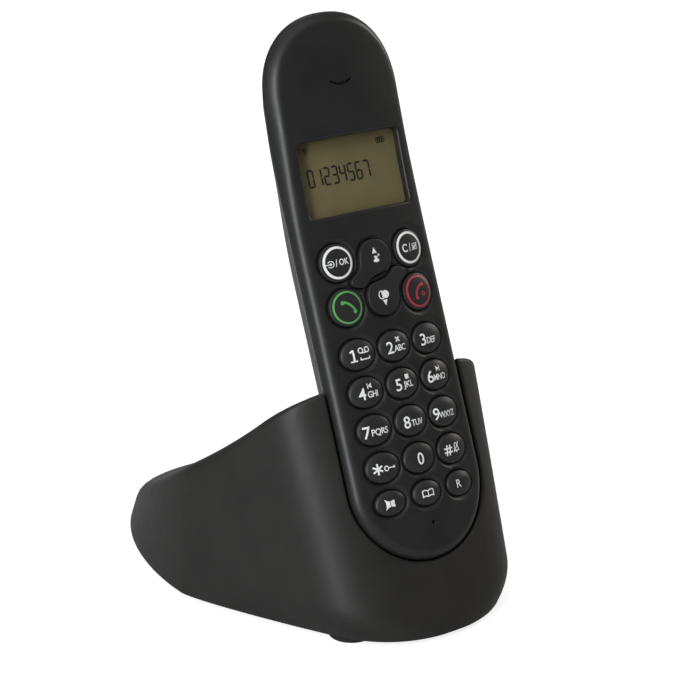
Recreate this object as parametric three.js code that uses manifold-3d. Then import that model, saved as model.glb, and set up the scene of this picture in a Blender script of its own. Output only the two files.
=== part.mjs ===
// Cordless phone standing in its charging base, built as separate pieces.
// Millimetres, +Z up. The phone faces -Y and the part's origin is the middle of the base's footprint,
// on the surface that it stands on. Handset pieces are drawn in the handset's own frame: x across,
// y along its length from the bottom end, z out of its front, with z = 0 at the crest of the front.

import * as THREE from 'three';
import { mergeVertices } from 'three/addons/utils/BufferGeometryUtils.js';
import Module from 'manifold-3d';

const wasm = await Module();
wasm.setup();

// ---- Driving dimensions: handset ----
const HANDSET_LENGTH = 153.1;
const HANDSET_HALF_WIDTH = 22.3;
const HANDSET_THICKNESS = 25;
const TAPER_START = 83; // from here up the handset thins
const TAPER_END = 138; // and from here up it is at its thinnest
const TOP_THICKNESS_SHARE = 0.5;
const TOP_END_LENGTH = 22.6; // along the handset, of the blunt top end
const TOP_END_FULLNESS = 2.27; // 2 is an ellipse, more is squarer
const TOP_BACK_SLOPE = 1.6; // how fast the top end falls forward, per millimetre of depth
const TOP_BEND = 1.1; // how far the front curls forward towards the top
const BEND_START = 105;
const BEND_END = 160;
const CROWN_RADIUS = 99; // the front is a shallow cylinder across the handset
const FRONT_EDGE_DEPTH = 3; // from the crowned front down to the widest line
const TOP_EDGE_SHARE = 0.4; // of that depth left at the top end
const EDGE_THINS_FROM = 110;
const EDGE_THINNEST = 148;
const CASE_WALL = 1.8;
const PARTING_DEPTH = 6.4; // the joint line between front and rear cover
const SEAM = 0.3; // gap left between pieces that touch
const LEAN_DEG = 21.3; // how far the handset leans back

// ---- Driving dimensions: keys ----
const COLUMN_PITCH = 12.1;
const ROW_PITCH = 10.5;
const FIRST_ROW = 28.2; // the * 0 # row
const KEY_HALF_WIDTH = 5.25;
const KEY_HALF_HEIGHT = 4.2;
const SMALL_ROW = 18.3; // loudspeaker, phonebook and R
const SMALL_KEY_HALF_WIDTH = 4.7;
const SMALL_KEY_HALF_HEIGHT = 3.5;
const RING_COLUMN = 12.3;
const RING_KEY_RADIUS = 5.2;
const CLUSTER_CENTRE = 79; // middle of the OK, clear, talk, end, up and down cluster
const RING_ROW_OFFSET = 6.2;
const KEY_GAP = 0.3;
const KEY_DOME = 0.9; // rise of a key above the crowned front at its middle
const KEY_EDGE = -0.1; // height of a key's rim against the crowned front
const DISH_DEPTH = 0.7; // the soft recess round each key
const DISH_WIDTH = 1.0;
const KEY_TRAVEL = 0.6;
const FLANGE_WIDTH = 0.7;
const FLANGE_THICKNESS = 0.7;
const FLANGE_DEPTH = 3.9; // top of the key flanges, under the cover
const MEMBRANE_THICKNESS = 0.9;
const MEMBRANE_DOME = 0.6;
const BOARD_THICKNESS = 1.2;

// ---- Driving dimensions: display ----
const DISPLAY_CENTRE = 108.35;
const DISPLAY_HALF_WIDTH = 17.1;
const DISPLAY_HALF_HEIGHT = 10.45;
const WINDOW_SEAT = 2.5; // depth of the seat that the window is glued to
const WINDOW_THICKNESS = 0.8;
const WINDOW_LAND = 1.3;
const DISPLAY_DEPTH = 3.8; // front of the display glass
const DISPLAY_THICKNESS = 2.2;

// ---- Driving dimensions: other handset pieces ----
const EARPIECE_CENTRE = 134;
const EARPIECE_SLOT_WIDTH = 7.4;
const RECEIVER_RADIUS = 6.2;
const LOUDSPEAKER_RADIUS = 9;
const LOUDSPEAKER_DEPTH = 4.2;
const SHIELD_HALF_WIDTH = 11; // the can over the radio circuit
const SHIELD_START = 24;
const SHIELD_LENGTH = 22;
const SHIELD_DEPTH = 2.6;
const BOARD_END_ROOM = 12.5; // between the board's top end and the handset's
const MIC_CENTRE = 10;
const CELL_RADIUS = 5.25; // AAA cell
const CELL_LENGTH = 44.5;
const CELL_START = 52; // bottom end of the cells along the handset
const CELL_END_GAP = 1.8; // room for a contact at each end of the cells
const CELL_BACK_GAP = 2.4; // between the cells and the door
const TRAY_WALL = 1.1;
const DOOR_LAP = 1.5; // how far the door starts below the cells
const DOOR_REACH = 5; // and how far it runs on above them
const DOOR_HALF_WIDTH = 13.6;
const CHARGE_CONTACT_X = 7;
const CHARGE_CONTACT_DEPTH = 11.5;
const CHARGE_CONTACT_HEIGHT = 6.9; // contact face above the bottom end
const PIN_RADIUS = 1.0;
const PIN_GUIDE = 8.2; // from the contact face down to the end of the pin's guide
const SCREW_SHANK = 1.0;
const SCREW_HEAD = 2.0;

// ---- Driving dimensions: base ----
const HANDSET_FOOT_Y = 3.2; // where the handset's bottom end stands, from the nose of the base
const HANDSET_FOOT_Z = 21.8;
const BASE_HALF_WIDTH = 47.7;
const NOSE_Y = -3.7; // foremost point of the base at its foot, from the handset's zero
const TAIL_Y = 135.9;
const FRONT_LEAN_DEG = 21.3;
const FRONT_CROWN_RADIUS = 104;
const CORNER_HALF_WIDTH = 28; // where front and flank would meet, low down
const CORNER_ROUNDING = 12.2;
const HORN_ROUNDING = 13.7;
const NOSE_TUCK = 7; // how far the foot draws in under the front corners
const TUCK_HEIGHT = 10;
const TUCK_ROUNDING = 4.5; // and how much rounder they are there
const HORN_HALF_WIDTH = 36.8;
const HORN_HEIGHT = 70.8;
const TAIL_RIDGE_HEIGHT = 6.6; // where the sloping top would end at the tail, before its edge is rounded
const RIDGE_SAG = 0.003;
const TAIL_FALL_LENGTH = 71; // this far behind the horns the tail has fallen by 1 more
const WIDEST_Y = 62.7; // where the base is widest at its foot
const TOP_EDGE_AT_TAIL = 4.6; // rounding of the top edge
const TOP_EDGE_AT_HORNS = 1.6;
const BASE_WALL = 2.2;
const CRADLE_GAP = 0.9;
const SEAT_GAP = 0.35;
const FOOT_HEIGHT = 1.6;
const COVER_THICKNESS = 2.4;
const FOOT_RADIUS = 5;
const BASE_BOARD_HEIGHT = 13.4;
const BASE_BOARD_HALF_WIDTH = 27;
const BASE_BOARD_FRONT = 20;
const LOCATE_Y = 84; // middle of the locate button
const LOCATE_RADIUS = 6.5;
const WELL_ROOM = 3.7; // over the cable well, under the tail's top wall
const LINE_MOUTH_HALF_WIDTH = 4.85;
const POWER_MOUTH_HALF_WIDTH = 3.9;

// ---- Colours ----
const CASE_BLACK = { color: 0x232325, roughness: 0.5, metalness: 0 };
const KEY_BLACK = { color: 0x262627, roughness: 0.45, metalness: 0 };
const RUBBER_GREY = { color: 0x3a3a3a, roughness: 0.9, metalness: 0 };
const DISPLAY_OLIVE = { color: 0x6b6644, roughness: 0.4, metalness: 0 };
const CLEAR = { color: 0xdde2dd, roughness: 0.05, metalness: 0, transparent: true, opacity: 0.3 };
const BOARD_GREEN = { color: 0x1f5b38, roughness: 0.6, metalness: 0 };
const STEEL = { color: 0xb9bcc0, roughness: 0.3, metalness: 1 };
const GOLD = { color: 0xcfa75a, roughness: 0.3, metalness: 1 };
const CELL_GREEN = { color: 0x2f8a4a, roughness: 0.4, metalness: 0.2 };
const CREAM = { color: 0xd8d4c4, roughness: 0.6, metalness: 0 };

const mix = (low, high, share) => low + (high - low) * share;

// ---- Solids ----

// A closed mesh as a solid that can be joined and cut.
function solid(geometry) {
  const bare = geometry.clone();
  for (const name of Object.keys(bare.attributes)) {
    if (name !== 'position') {
      bare.deleteAttribute(name);
    }
  }
  const merged = mergeVertices(bare, 1e-4);
  return new wasm.Manifold(new wasm.Mesh({
    numProp: 3,
    vertProperties: new Float32Array(merged.attributes.position.array),
    triVerts: new Uint32Array(merged.index.array),
  }));
}

function geometryOf(body) {
  const mesh = body.getMesh();
  const geometry = new THREE.BufferGeometry();
  geometry.setAttribute('position', new THREE.BufferAttribute(mesh.vertProperties, 3));
  geometry.setIndex(new THREE.BufferAttribute(mesh.triVerts, 1));
  geometry.computeVertexNormals();
  return geometry;
}

function capTriangles(ring) {
  return THREE.ShapeUtils.triangulateShape(ring.map((point) => new THREE.Vector2(point.x, point.y)), []);
}

// Strips across a ring that starts on the plane x = 0 and is the same on both sides of it.
function stripTriangles(ring) {
  const count = ring.length;
  const strips = [[0, 1, count - 1]];
  for (let i = 1; i < count / 2 - 1; i += 1) {
    strips.push([i, i + 1, count - i], [i + 1, count - i - 1, count - i]);
  }
  return [...strips, [count / 2 - 1, count / 2, count / 2 + 1]];
}

// Rings of equal count, anticlockwise seen from the last ring's side, skinned and capped.
function loft(rings, capOf = capTriangles) {
  const count = rings[0].length;
  const positions = rings.flat().flatMap((point) => [point.x, point.y, point.z]);
  const index = [];
  for (let k = 0; k + 1 < rings.length; k += 1) {
    for (let i = 0; i < count; i += 1) {
      const a = k * count + i;
      const b = k * count + ((i + 1) % count);
      index.push(a, b, b + count, a, b + count, a + count);
    }
  }
  const last = (rings.length - 1) * count;
  for (const [a, b, c] of capOf(rings[0])) {
    index.push(a, c, b);
  }
  for (const [a, b, c] of capOf(rings.at(-1))) {
    index.push(last + a, last + b, last + c);
  }
  const geometry = new THREE.BufferGeometry();
  geometry.setAttribute('position', new THREE.Float32BufferAttribute(positions, 3));
  geometry.setIndex(index);
  return geometry;
}

function box(x0, x1, y0, y1, z0, z1) {
  const geometry = new THREE.BoxGeometry(x1 - x0, y1 - y0, z1 - z0);
  geometry.translate((x0 + x1) / 2, (y0 + y1) / 2, (z0 + z1) / 2);
  return solid(geometry);
}

// A cylinder along z.
function rod(x, y, z0, z1, radius, segments = 12) {
  const geometry = new THREE.CylinderGeometry(radius, radius, z1 - z0, segments);
  geometry.rotateX(Math.PI / 2);
  geometry.translate(x, y, (z0 + z1) / 2);
  return solid(geometry);
}

// A cylinder along y.
function rodAlong(x, y0, y1, z, radius, segments = 16) {
  const geometry = new THREE.CylinderGeometry(radius, radius, y1 - y0, segments);
  geometry.translate(x, (y0 + y1) / 2, z);
  return solid(geometry);
}

// A body of revolution about z from [radius, height] pairs.
function turned(profile, segments = 12) {
  const points = profile.map(([radius, height]) => new THREE.Vector2(radius, height));
  const geometry = new THREE.LatheGeometry(points, segments);
  geometry.rotateX(Math.PI / 2);
  return geometry;
}

function prism(shape, z0, z1, curveSegments = 6) {
  const geometry = new THREE.ExtrudeGeometry(shape, { depth: z1 - z0, bevelEnabled: false, curveSegments });
  geometry.translate(0, 0, z0);
  return solid(geometry);
}

// ---- The handset's outer form ----

const END_SEGMENTS = 10;

// A stadium: two round ends joined by straight sides, drawn in by inset, at the height heightAt gives.
function stadium(halfWidth, bottom, top, inset, heightAt) {
  const radius = halfWidth - inset;
  const ring = [];
  const add = (x, y) => ring.push(new THREE.Vector3(x, y, heightAt(x, y)));
  const blunt = (value, power) => Math.sign(value) * Math.abs(value) ** power;
  const arc = (centre, start, length, power) => {
    for (let i = 0; i <= END_SEGMENTS; i += 1) {
      const angle = start + (Math.PI * i) / END_SEGMENTS;
      const along = (length - inset) * blunt(Math.sin(angle), power);
      add(radius * blunt(Math.cos(angle), power), centre + along);
    }
  };
  const sidePlaces = [0, 0.35, 0.7].map((share) => TAPER_START + share * (HANDSET_LENGTH - 31 - TAPER_START));
  const endLength = TOP_END_LENGTH + halfWidth - HANDSET_HALF_WIDTH;
  arc(top - endLength, 0, endLength, 2 / TOP_END_FULLNESS);
  for (const y of [...sidePlaces].reverse()) {
    add(-radius, y);
  }
  arc(bottom + halfWidth, Math.PI, halfWidth, 1);
  for (const y of sidePlaces) {
    add(radius, y);
  }
  return ring;
}

const crownDrop = (x) => (x * x) / (2 * CROWN_RADIUS);
const { smoothstep } = THREE.MathUtils;

// How far the front curls forward at a place along the handset.
const frontBend = (y) => TOP_BEND * smoothstep(y, BEND_START, BEND_END);

// How much of the rounded front edge's depth is left there.
const edgeShare = (y) => 1 - (1 - TOP_EDGE_SHARE) * smoothstep(y, EDGE_THINS_FROM, EDGE_THINNEST);

// How deep the handset's widest line lies there.
const widestDepth = (y) => FRONT_EDGE_DEPTH * edgeShare(y) + crownDrop(HANDSET_HALF_WIDTH) - frontBend(y);

// How much of the full depth behind the widest line is left at a place along the handset.
function depthShare(y) {
  return 1 - (1 - TOP_THICKNESS_SHARE) * smoothstep(y, TAPER_START, TAPER_END);
}

// How deep the middle of the handset's back lies there.
const rearDepth = (y) => (HANDSET_THICKNESS - widestDepth(0)) * depthShare(y) + widestDepth(y);

// The handset's form, grown by grow all round, as rings from its back to its front.
function handsetForm(grow, bottomGrow = grow, extraLength = 0, crownSteps = [9, 16]) {
  const halfWidth = HANDSET_HALF_WIDTH + grow;
  const bottom = -bottomGrow;
  const top = HANDSET_LENGTH + grow + extraLength;
  const depth = HANDSET_THICKNESS - widestDepth(0) + grow;
  const section = new THREE.CubicBezierCurve(
    new THREE.Vector2(HANDSET_HALF_WIDTH * 0.26, -depth),
    new THREE.Vector2(HANDSET_HALF_WIDTH * 0.55, -depth),
    new THREE.Vector2(halfWidth, -5),
    new THREE.Vector2(halfWidth, 0),
  );
  const rings = section.getPoints(5).slice(0, -1).map((point) => {
    const topHere = top + point.y * TOP_BACK_SLOPE * depthShare(top);
    const ring = stadium(halfWidth, bottom, topHere, halfWidth - point.x, () => 0);
    for (const place of ring) {
      place.z = point.y * depthShare(place.y) - widestDepth(place.y);
    }
    return ring;
  });
  const edge = [0, 30, 60, 90].map((degrees) => {
    const angle = THREE.MathUtils.degToRad(degrees);
    return [FRONT_EDGE_DEPTH * (1 - Math.cos(angle)), FRONT_EDGE_DEPTH * (1 - Math.sin(angle))];
  });
  const front = [...edge, ...crownSteps.map((inset) => [inset, 0])];
  for (const [inset, drop] of front) {
    const heightAt = (x, y) => grow + frontBend(y) - drop * edgeShare(y) - crownDrop(x);
    rings.push(stadium(halfWidth, bottom, top, inset, heightAt));
  }
  return solid(loft(rings));
}

const FAR = 300;
const frontHalf = box(-FAR, FAR, -FAR, FAR, -PARTING_DEPTH, FAR);
const rearHalf = box(-FAR, FAR, -FAR, FAR, -FAR, -PARTING_DEPTH - SEAM);
const handsetOuter = handsetForm(0);
const handsetInner = handsetForm(-CASE_WALL, -CASE_WALL, 0, [10]);

// ---- Keys ----

const KEY_SEGMENTS = 12;

// The curved key of the cluster: a round lobe with a tail that sweeps between the two ring keys.
function commaShape(grow) {
  const lobe = 5.3 + grow;
  const centre = 8.3;
  const half = grow;
  const shape = new THREE.Shape();
  shape.moveTo(-7.6 - half, 0.1);
  shape.bezierCurveTo(-6.3 - half, 1.6 + half, -lobe, 3.4, -lobe, centre);
  shape.absarc(0, centre, lobe, Math.PI, 0, true);
  shape.bezierCurveTo(lobe, 5.0 - half, 3.4, 2.9 - half, 0.4, 1.0 - half);
  shape.bezierCurveTo(-2.6, -0.9 - half, -3.6, -2.4 - half, -4.9, -4.0 - half);
  shape.bezierCurveTo(-5.8 - half, -2.6 - half, -6.8 - half, -1.2 - half, -7.6 - half, 0.1);
  return shape;
}

function ellipseShape(halfWidth, halfHeight) {
  const shape = new THREE.Shape();
  shape.absellipse(0, 0, halfWidth, halfHeight, 0, Math.PI * 2);
  return shape;
}

const ellipseKey = (node, x, y, halfWidth, halfHeight) => {
  const outline = (grow) => ellipseShape(halfWidth + grow, halfHeight + grow);
  return { node, x, y, halfWidth, halfHeight, turn: 0, outline };
};
const commaKey = (node, turn) => ({ node, x: 0, y: CLUSTER_CENTRE, turn, outline: commaShape });

const KEYS = [];
const numberNames = [['star', '0', 'hash'], ['7', '8', '9'], ['4', '5', '6'], ['1', '2', '3']];
numberNames.forEach((names, row) => {
  names.forEach((name, column) => {
    const x = (column - 1) * COLUMN_PITCH;
    const y = FIRST_ROW + row * ROW_PITCH;
    KEYS.push(ellipseKey(`key_${name}`, x, y, KEY_HALF_WIDTH, KEY_HALF_HEIGHT));
  });
});
['loudspeaker', 'phonebook', 'recall'].forEach((name, column) => {
  const x = (column - 1) * COLUMN_PITCH;
  KEYS.push(ellipseKey(`key_${name}`, x, SMALL_ROW, SMALL_KEY_HALF_WIDTH, SMALL_KEY_HALF_HEIGHT));
});
for (const [name, side, row] of [['ok', -1, 1], ['clear', 1, 1], ['talk', -1, -1], ['end', 1, -1]]) {
  const y = CLUSTER_CENTRE + row * RING_ROW_OFFSET;
  KEYS.push(ellipseKey(`key_${name}`, side * RING_COLUMN, y, RING_KEY_RADIUS, RING_KEY_RADIUS));
}
KEYS.push(commaKey('key_up', 0));
KEYS.push(commaKey('key_down', Math.PI));

// A key's outline as a solid in its place on the handset.
function keyPrism(key, grow, z0, z1) {
  const raised = prism(key.outline(grow), z0, z1, key.halfWidth ? 8 : 3);
  return raised.rotate([0, 0, THREE.MathUtils.radToDeg(key.turn)]).translate([key.x, key.y, 0]);
}

// A turned profile made oval, its upper part sinking with the crown of the front.
function ovalTurned(key, profile, crownAbove = -FAR) {
  const geometry = turned(profile, KEY_SEGMENTS);
  const positions = geometry.attributes.position;
  for (let i = 0; i < positions.count; i += 1) {
    const x = positions.getX(i);
    const z = positions.getZ(i);
    const y = positions.getY(i) * (key.halfHeight / key.halfWidth);
    const follow = z > crownAbove ? crownDrop(key.x + x) : 0;
    positions.setXYZ(i, x, y, z - follow);
  }
  geometry.translate(key.x, key.y, 0);
  return geometry;
}

// An oval key: domed cap, straight stem and a flange that holds it under the cover.
function ovalKey(key) {
  const { halfWidth } = key;
  const flangeBottom = -FLANGE_DEPTH - FLANGE_THICKNESS;
  const flange = halfWidth + FLANGE_WIDTH;
  return ovalTurned(key, [
    [0, flangeBottom], [flange, flangeBottom], [flange, -FLANGE_DEPTH], [halfWidth, -FLANGE_DEPTH],
    [halfWidth, KEY_EDGE], [halfWidth * 0.72, KEY_DOME * 0.6], [0, KEY_DOME],
  ], -FLANGE_DEPTH);
}

// A curved key: the same build on the comma outline, its top following the crowned front.
function curvedKey(key) {
  const cap = keyPrism(key, 0, -FLANGE_DEPTH - 0.1, FAR).intersect(crownedBelow(0.45));
  const flange = keyPrism(key, FLANGE_WIDTH * 0.6, -FLANGE_DEPTH - FLANGE_THICKNESS, -FLANGE_DEPTH);
  return geometryOf(cap.add(flange));
}

// Everything under a surface that lies height above the crowned front.
function crownedBelow(height) {
  const cylinder = rodAlong(0, -FAR, FAR, height - CROWN_RADIUS, CROWN_RADIUS, 96);
  return cylinder.intersect(box(-FAR, FAR, -FAR, FAR, -FAR / 4, FAR));
}

// The opening for a key, with the soft dish round it.
function keyOpening(key) {
  const below = -CASE_WALL * 3;
  if (!key.halfWidth) {
    return keyPrism(key, KEY_GAP, below, 3).add(keyPrism(key, DISH_WIDTH * 0.8, -DISH_DEPTH * 0.6, 3));
  }
  const inner = key.halfWidth + KEY_GAP;
  const outer = key.halfWidth + DISH_WIDTH;
  const profile = [[0, below], [inner, below], [inner, -DISH_DEPTH], [outer, 0], [outer, 1], [0, 1]];
  return solid(ovalTurned(key, profile));
}

// ---- Handset pieces ----

const upperScrews = DISPLAY_CENTRE + DISPLAY_HALF_HEIGHT + 6.2;
const screwPlaces = [[-12.2, 11], [12.2, 11], [-14, upperScrews], [14, upperScrews]];
const flangeBack = FLANGE_DEPTH + FLANGE_THICKNESS;
const boardFront = -(flangeBack + KEY_TRAVEL + SEAM * 2 + MEMBRANE_THICKNESS + MEMBRANE_DOME);
const boardBack = boardFront - BOARD_THICKNESS;
const screwSeat = boardBack - SEAM - 1;

function displayBox(margin, z0, z1) {
  const halfWidth = DISPLAY_HALF_WIDTH + margin;
  const halfHeight = DISPLAY_HALF_HEIGHT + margin;
  return box(-halfWidth, halfWidth, DISPLAY_CENTRE - halfHeight, DISPLAY_CENTRE + halfHeight, z0, z1);
}

function earpieceSlot() {
  const half = EARPIECE_SLOT_WIDTH / 2;
  const shape = new THREE.Shape();
  shape.moveTo(-half, 1.1);
  shape.quadraticCurveTo(0, -1.3, half, 1.1);
  shape.lineTo(half - 0.5, 1.6);
  shape.quadraticCurveTo(0, -0.1, -half + 0.5, 1.6);
  shape.closePath();
  return prism(shape, -CASE_WALL * 2, 1, 5).translate([0, EARPIECE_CENTRE, 0]);
}

function frontCover() {
  let cover = handsetOuter.intersect(frontHalf).subtract(handsetInner);
  const frame = displayBox(WINDOW_LAND + 1.6, -WINDOW_SEAT - WINDOW_THICKNESS, -0.9);
  cover = cover.add(frame.intersect(handsetForm(-0.4)));
  cover = cover.subtract(displayBox(0, -FAR, FAR));
  cover = cover.subtract(displayBox(WINDOW_LAND + SEAM, -FAR, -WINDOW_SEAT));
  for (const key of KEYS) {
    cover = cover.subtract(keyOpening(key));
  }
  for (const [x, y] of screwPlaces) {
    const post = rod(x, y, boardFront + SEAM, -1.2, 2.2, 12);
    cover = cover.add(post.intersect(handsetForm(-0.5)));
    cover = cover.subtract(rod(x, y, -FAR, -2.4, SCREW_SHANK + SEAM, 12));
  }
  cover = cover.subtract(earpieceSlot());
  cover = cover.subtract(rod(0, MIC_CENTRE, -CASE_WALL * 3, 2, 0.6, 8));
  return cover;
}

const doorStart = CELL_START - DOOR_LAP;
const doorEnd = CELL_START + CELL_LENGTH + DOOR_REACH;
const cellDepth = HANDSET_THICKNESS - CASE_WALL - CELL_BACK_GAP - CELL_RADIUS;
const trayFloor = -cellDepth + CELL_RADIUS + SEAM + TRAY_WALL;

function doorOpening(margin) {
  return box(-DOOR_HALF_WIDTH - margin, DOOR_HALF_WIDTH + margin, doorStart - margin, doorEnd + margin,
    -FAR, trayFloor - TRAY_WALL);
}

function rearCover() {
  let cover = handsetOuter.intersect(rearHalf).subtract(handsetInner);
  cover = cover.subtract(doorOpening(SEAM));
  const half = CELL_RADIUS * 2 + 0.5;
  const start = CELL_START - CELL_END_GAP;
  const end = CELL_START + CELL_LENGTH + CELL_END_GAP;
  const wall = TRAY_WALL;
  const depth = -HANDSET_THICKNESS + CASE_WALL + 0.4;
  const tray = box(-half - wall, half + wall, start - wall, end + wall, depth, trayFloor)
    .subtract(box(-half, half, start, end, -FAR, trayFloor - wall))
    .intersect(handsetForm(-CASE_WALL - SEAM));
  const rims = [doorStart - wall - SEAM, doorEnd + SEAM];
  cover = cover.add(tray);
  for (const rim of rims) {
    const web = box(-DOOR_HALF_WIDTH, DOOR_HALF_WIDTH, rim, rim + wall, -FAR, trayFloor);
    cover = cover.add(web.intersect(handsetForm(-0.6)));
  }
  const floor = box(-half - wall, half + wall, doorStart - wall - SEAM, doorEnd + SEAM + wall,
    trayFloor - wall, trayFloor);
  cover = cover.add(floor.intersect(handsetForm(-0.6)));
  for (const [x, y] of screwPlaces) {
    const post = rod(x, y, -FAR, boardBack - SEAM, SCREW_HEAD + 1.4, 14);
    cover = cover.add(post.intersect(handsetForm(-0.6)).intersect(rearHalf));
    cover = cover.add(post.intersect(handsetForm(-CASE_WALL - SEAM)));
    cover = cover.subtract(rod(x, y, -FAR, screwSeat, SCREW_HEAD + SEAM, 12));
    cover = cover.subtract(rod(x, y, -FAR, FAR, SCREW_SHANK + SEAM, 12));
  }
  for (const side of [-1, 1]) {
    cover = cover.subtract(contactSlot(side, SEAM));
  }
  return cover;
}

function contactSlot(side, margin) {
  const x = side * CHARGE_CONTACT_X;
  const halfWidth = 1.7 + margin;
  const z = -CHARGE_CONTACT_DEPTH;
  return box(x - halfWidth, x + halfWidth, -2, 12, z - 1.3 - margin, z + 1.3 + margin);
}

function chargeContact(side) {
  const above = box(-FAR, FAR, CHARGE_CONTACT_HEIGHT, CHARGE_CONTACT_HEIGHT + 3, -FAR, FAR);
  return contactSlot(side, 0).intersect(above);
}

function batteryDoor() {
  const skin = handsetOuter.subtract(handsetInner).intersect(doorOpening(0));
  const start = CELL_START + CELL_LENGTH + CELL_END_GAP + TRAY_WALL + SEAM;
  const tongue = box(-4, 4, start, start + 1.1, -FAR, CASE_WALL + 1.2 - rearDepth(start));
  return skin.add(tongue.intersect(handsetForm(-0.6)));
}

function boardShape(inset) {
  const ring = stadium(HANDSET_HALF_WIDTH, 0, HANDSET_LENGTH - BOARD_END_ROOM, inset, () => 0);
  return new THREE.Shape(ring.map((point) => new THREE.Vector2(point.x, point.y)));
}

function handsetBoard() {
  let board = prism(boardShape(CASE_WALL + 3.4), boardBack, boardFront);
  for (const [x, y] of screwPlaces) {
    board = board.subtract(rod(x, y, -FAR, FAR, SCREW_SHANK + SEAM, 12));
  }
  return board;
}

function keypadMembrane() {
  const back = boardFront + SEAM;
  const front = back + MEMBRANE_THICKNESS;
  const halfWidth = COLUMN_PITCH + KEY_HALF_WIDTH + 0.7;
  const start = SMALL_ROW - SMALL_KEY_HALF_HEIGHT - 0.4;
  const end = CLUSTER_CENTRE + RING_ROW_OFFSET + RING_KEY_RADIUS + 0.9;
  let sheet = box(-halfWidth, halfWidth, start, end, back, front);
  for (const key of KEYS) {
    const y = key.halfWidth ? key.y : key.y + (key.turn ? -8.3 : 8.3);
    sheet = sheet.add(rod(key.x, y, front - 0.2, front + MEMBRANE_DOME, 2.4, 6));
  }
  return sheet;
}

function displayModule() {
  return displayBox(1.3, -DISPLAY_DEPTH - DISPLAY_THICKNESS, -DISPLAY_DEPTH);
}

function displayHolder() {
  const back = boardFront + SEAM;
  const front = -CASE_WALL - crownDrop(DISPLAY_HALF_WIDTH + 2.8) - FRONT_EDGE_DEPTH / 2 - SEAM;
  const ring = displayBox(1.3 + SEAM + 0.6, back, front).subtract(displayBox(1.3 + SEAM, -FAR, FAR));
  const ledgeTop = -DISPLAY_DEPTH - DISPLAY_THICKNESS - SEAM;
  const ledge = displayBox(1.3 + SEAM + 0.6, back, ledgeTop).subtract(displayBox(-2, -FAR, FAR));
  return ring.add(ledge);
}

function displayWindow() {
  const front = -WINDOW_SEAT - SEAM / 2;
  return displayBox(WINDOW_LAND, front - WINDOW_THICKNESS + SEAM / 2, front);
}

function cell(side) {
  const nub = 0.8;
  const body = CELL_LENGTH - nub;
  const profile = [[0, 0], [CELL_RADIUS - 0.5, 0], [CELL_RADIUS, 0.5], [CELL_RADIUS, body - 0.5],
    [CELL_RADIUS - 0.5, body], [1.9, body], [1.9, CELL_LENGTH], [0, CELL_LENGTH]];
  const geometry = turned(profile);
  geometry.rotateX(-Math.PI / 2);
  if (side > 0) {
    geometry.rotateX(Math.PI);
    geometry.translate(0, CELL_LENGTH, 0);
  }
  geometry.translate(side * (CELL_RADIUS + 0.15), CELL_START, -cellDepth);
  return geometry;
}

function batteryContact(atTop) {
  const y = atTop ? CELL_START + CELL_LENGTH + SEAM : CELL_START - SEAM - 1.2;
  const half = CELL_RADIUS * 2 - 0.4;
  const plate = box(-half, half, y + (atTop ? 0.5 : 0), y + (atTop ? 1.2 : 0.7),
    -cellDepth - 3.2, -cellDepth + 4);
  let contact = plate;
  for (const side of [-1, 1]) {
    const x = side * (CELL_RADIUS + 0.15);
    contact = contact.add(rodAlong(x, y, y + 1.2, -cellDepth, 1.8, 12));
  }
  return contact;
}

function receiver() {
  const front = frontBend(EARPIECE_CENTRE - RECEIVER_RADIUS) - CASE_WALL - SEAM - 0.05;
  return rod(0, EARPIECE_CENTRE, boardFront + SEAM, front, RECEIVER_RADIUS, 24);
}

function loudspeaker() {
  const front = boardBack - SEAM;
  const back = front - LOUDSPEAKER_DEPTH;
  const magnet = LOUDSPEAKER_RADIUS * 0.55;
  const profile = [[0, back], [magnet, back], [magnet, mix(back, front, 0.4)],
    [LOUDSPEAKER_RADIUS, mix(back, front, 0.6)], [LOUDSPEAKER_RADIUS, front], [0, front]];
  const geometry = turned(profile, 16);
  geometry.translate(0, doorEnd + TRAY_WALL + SEAM * 2 + LOUDSPEAKER_RADIUS, 0);
  return geometry;
}

function microphone() {
  return rod(0, MIC_CENTRE, boardFront + SEAM, -CASE_WALL - SEAM - 0.05, 2.6, 16);
}

function shieldCan() {
  const back = boardBack - SEAM;
  return box(-SHIELD_HALF_WIDTH, SHIELD_HALF_WIDTH, SHIELD_START, SHIELD_START + SHIELD_LENGTH,
    back - SHIELD_DEPTH, back);
}

function caseScrew([x, y]) {
  const headBottom = screwSeat - SEAM;
  const profile = [[0, headBottom - 1.4], [SCREW_HEAD, headBottom - 1.2], [SCREW_HEAD, headBottom],
    [SCREW_SHANK, headBottom], [SCREW_SHANK, -3.6], [0, -2.8]];
  const geometry = turned(profile, 10);
  geometry.translate(x, y, 0);
  return geometry;
}

// ---- The base's outer form ----

const frontTan = Math.tan(THREE.MathUtils.degToRad(FRONT_LEAN_DEG));
const hornY = NOSE_Y + HORN_HEIGHT * frontTan;
const ridgeRun = TAIL_Y - hornY;
const ridgeFall = HORN_HEIGHT - TAIL_RIDGE_HEIGHT - (ridgeRun / TAIL_FALL_LENGTH) ** 3;
const ridgeSlope = ridgeFall / ridgeRun + RIDGE_SAG * ridgeRun;

// Height of the sloping top at a place along the base.
function ridgeHeight(y) {
  const run = y - hornY;
  const tailFall = (Math.max(run, 0) / TAIL_FALL_LENGTH) ** 3;
  return HORN_HEIGHT - ridgeSlope * run + RIDGE_SAG * run * Math.abs(run) - tailFall;
}

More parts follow.
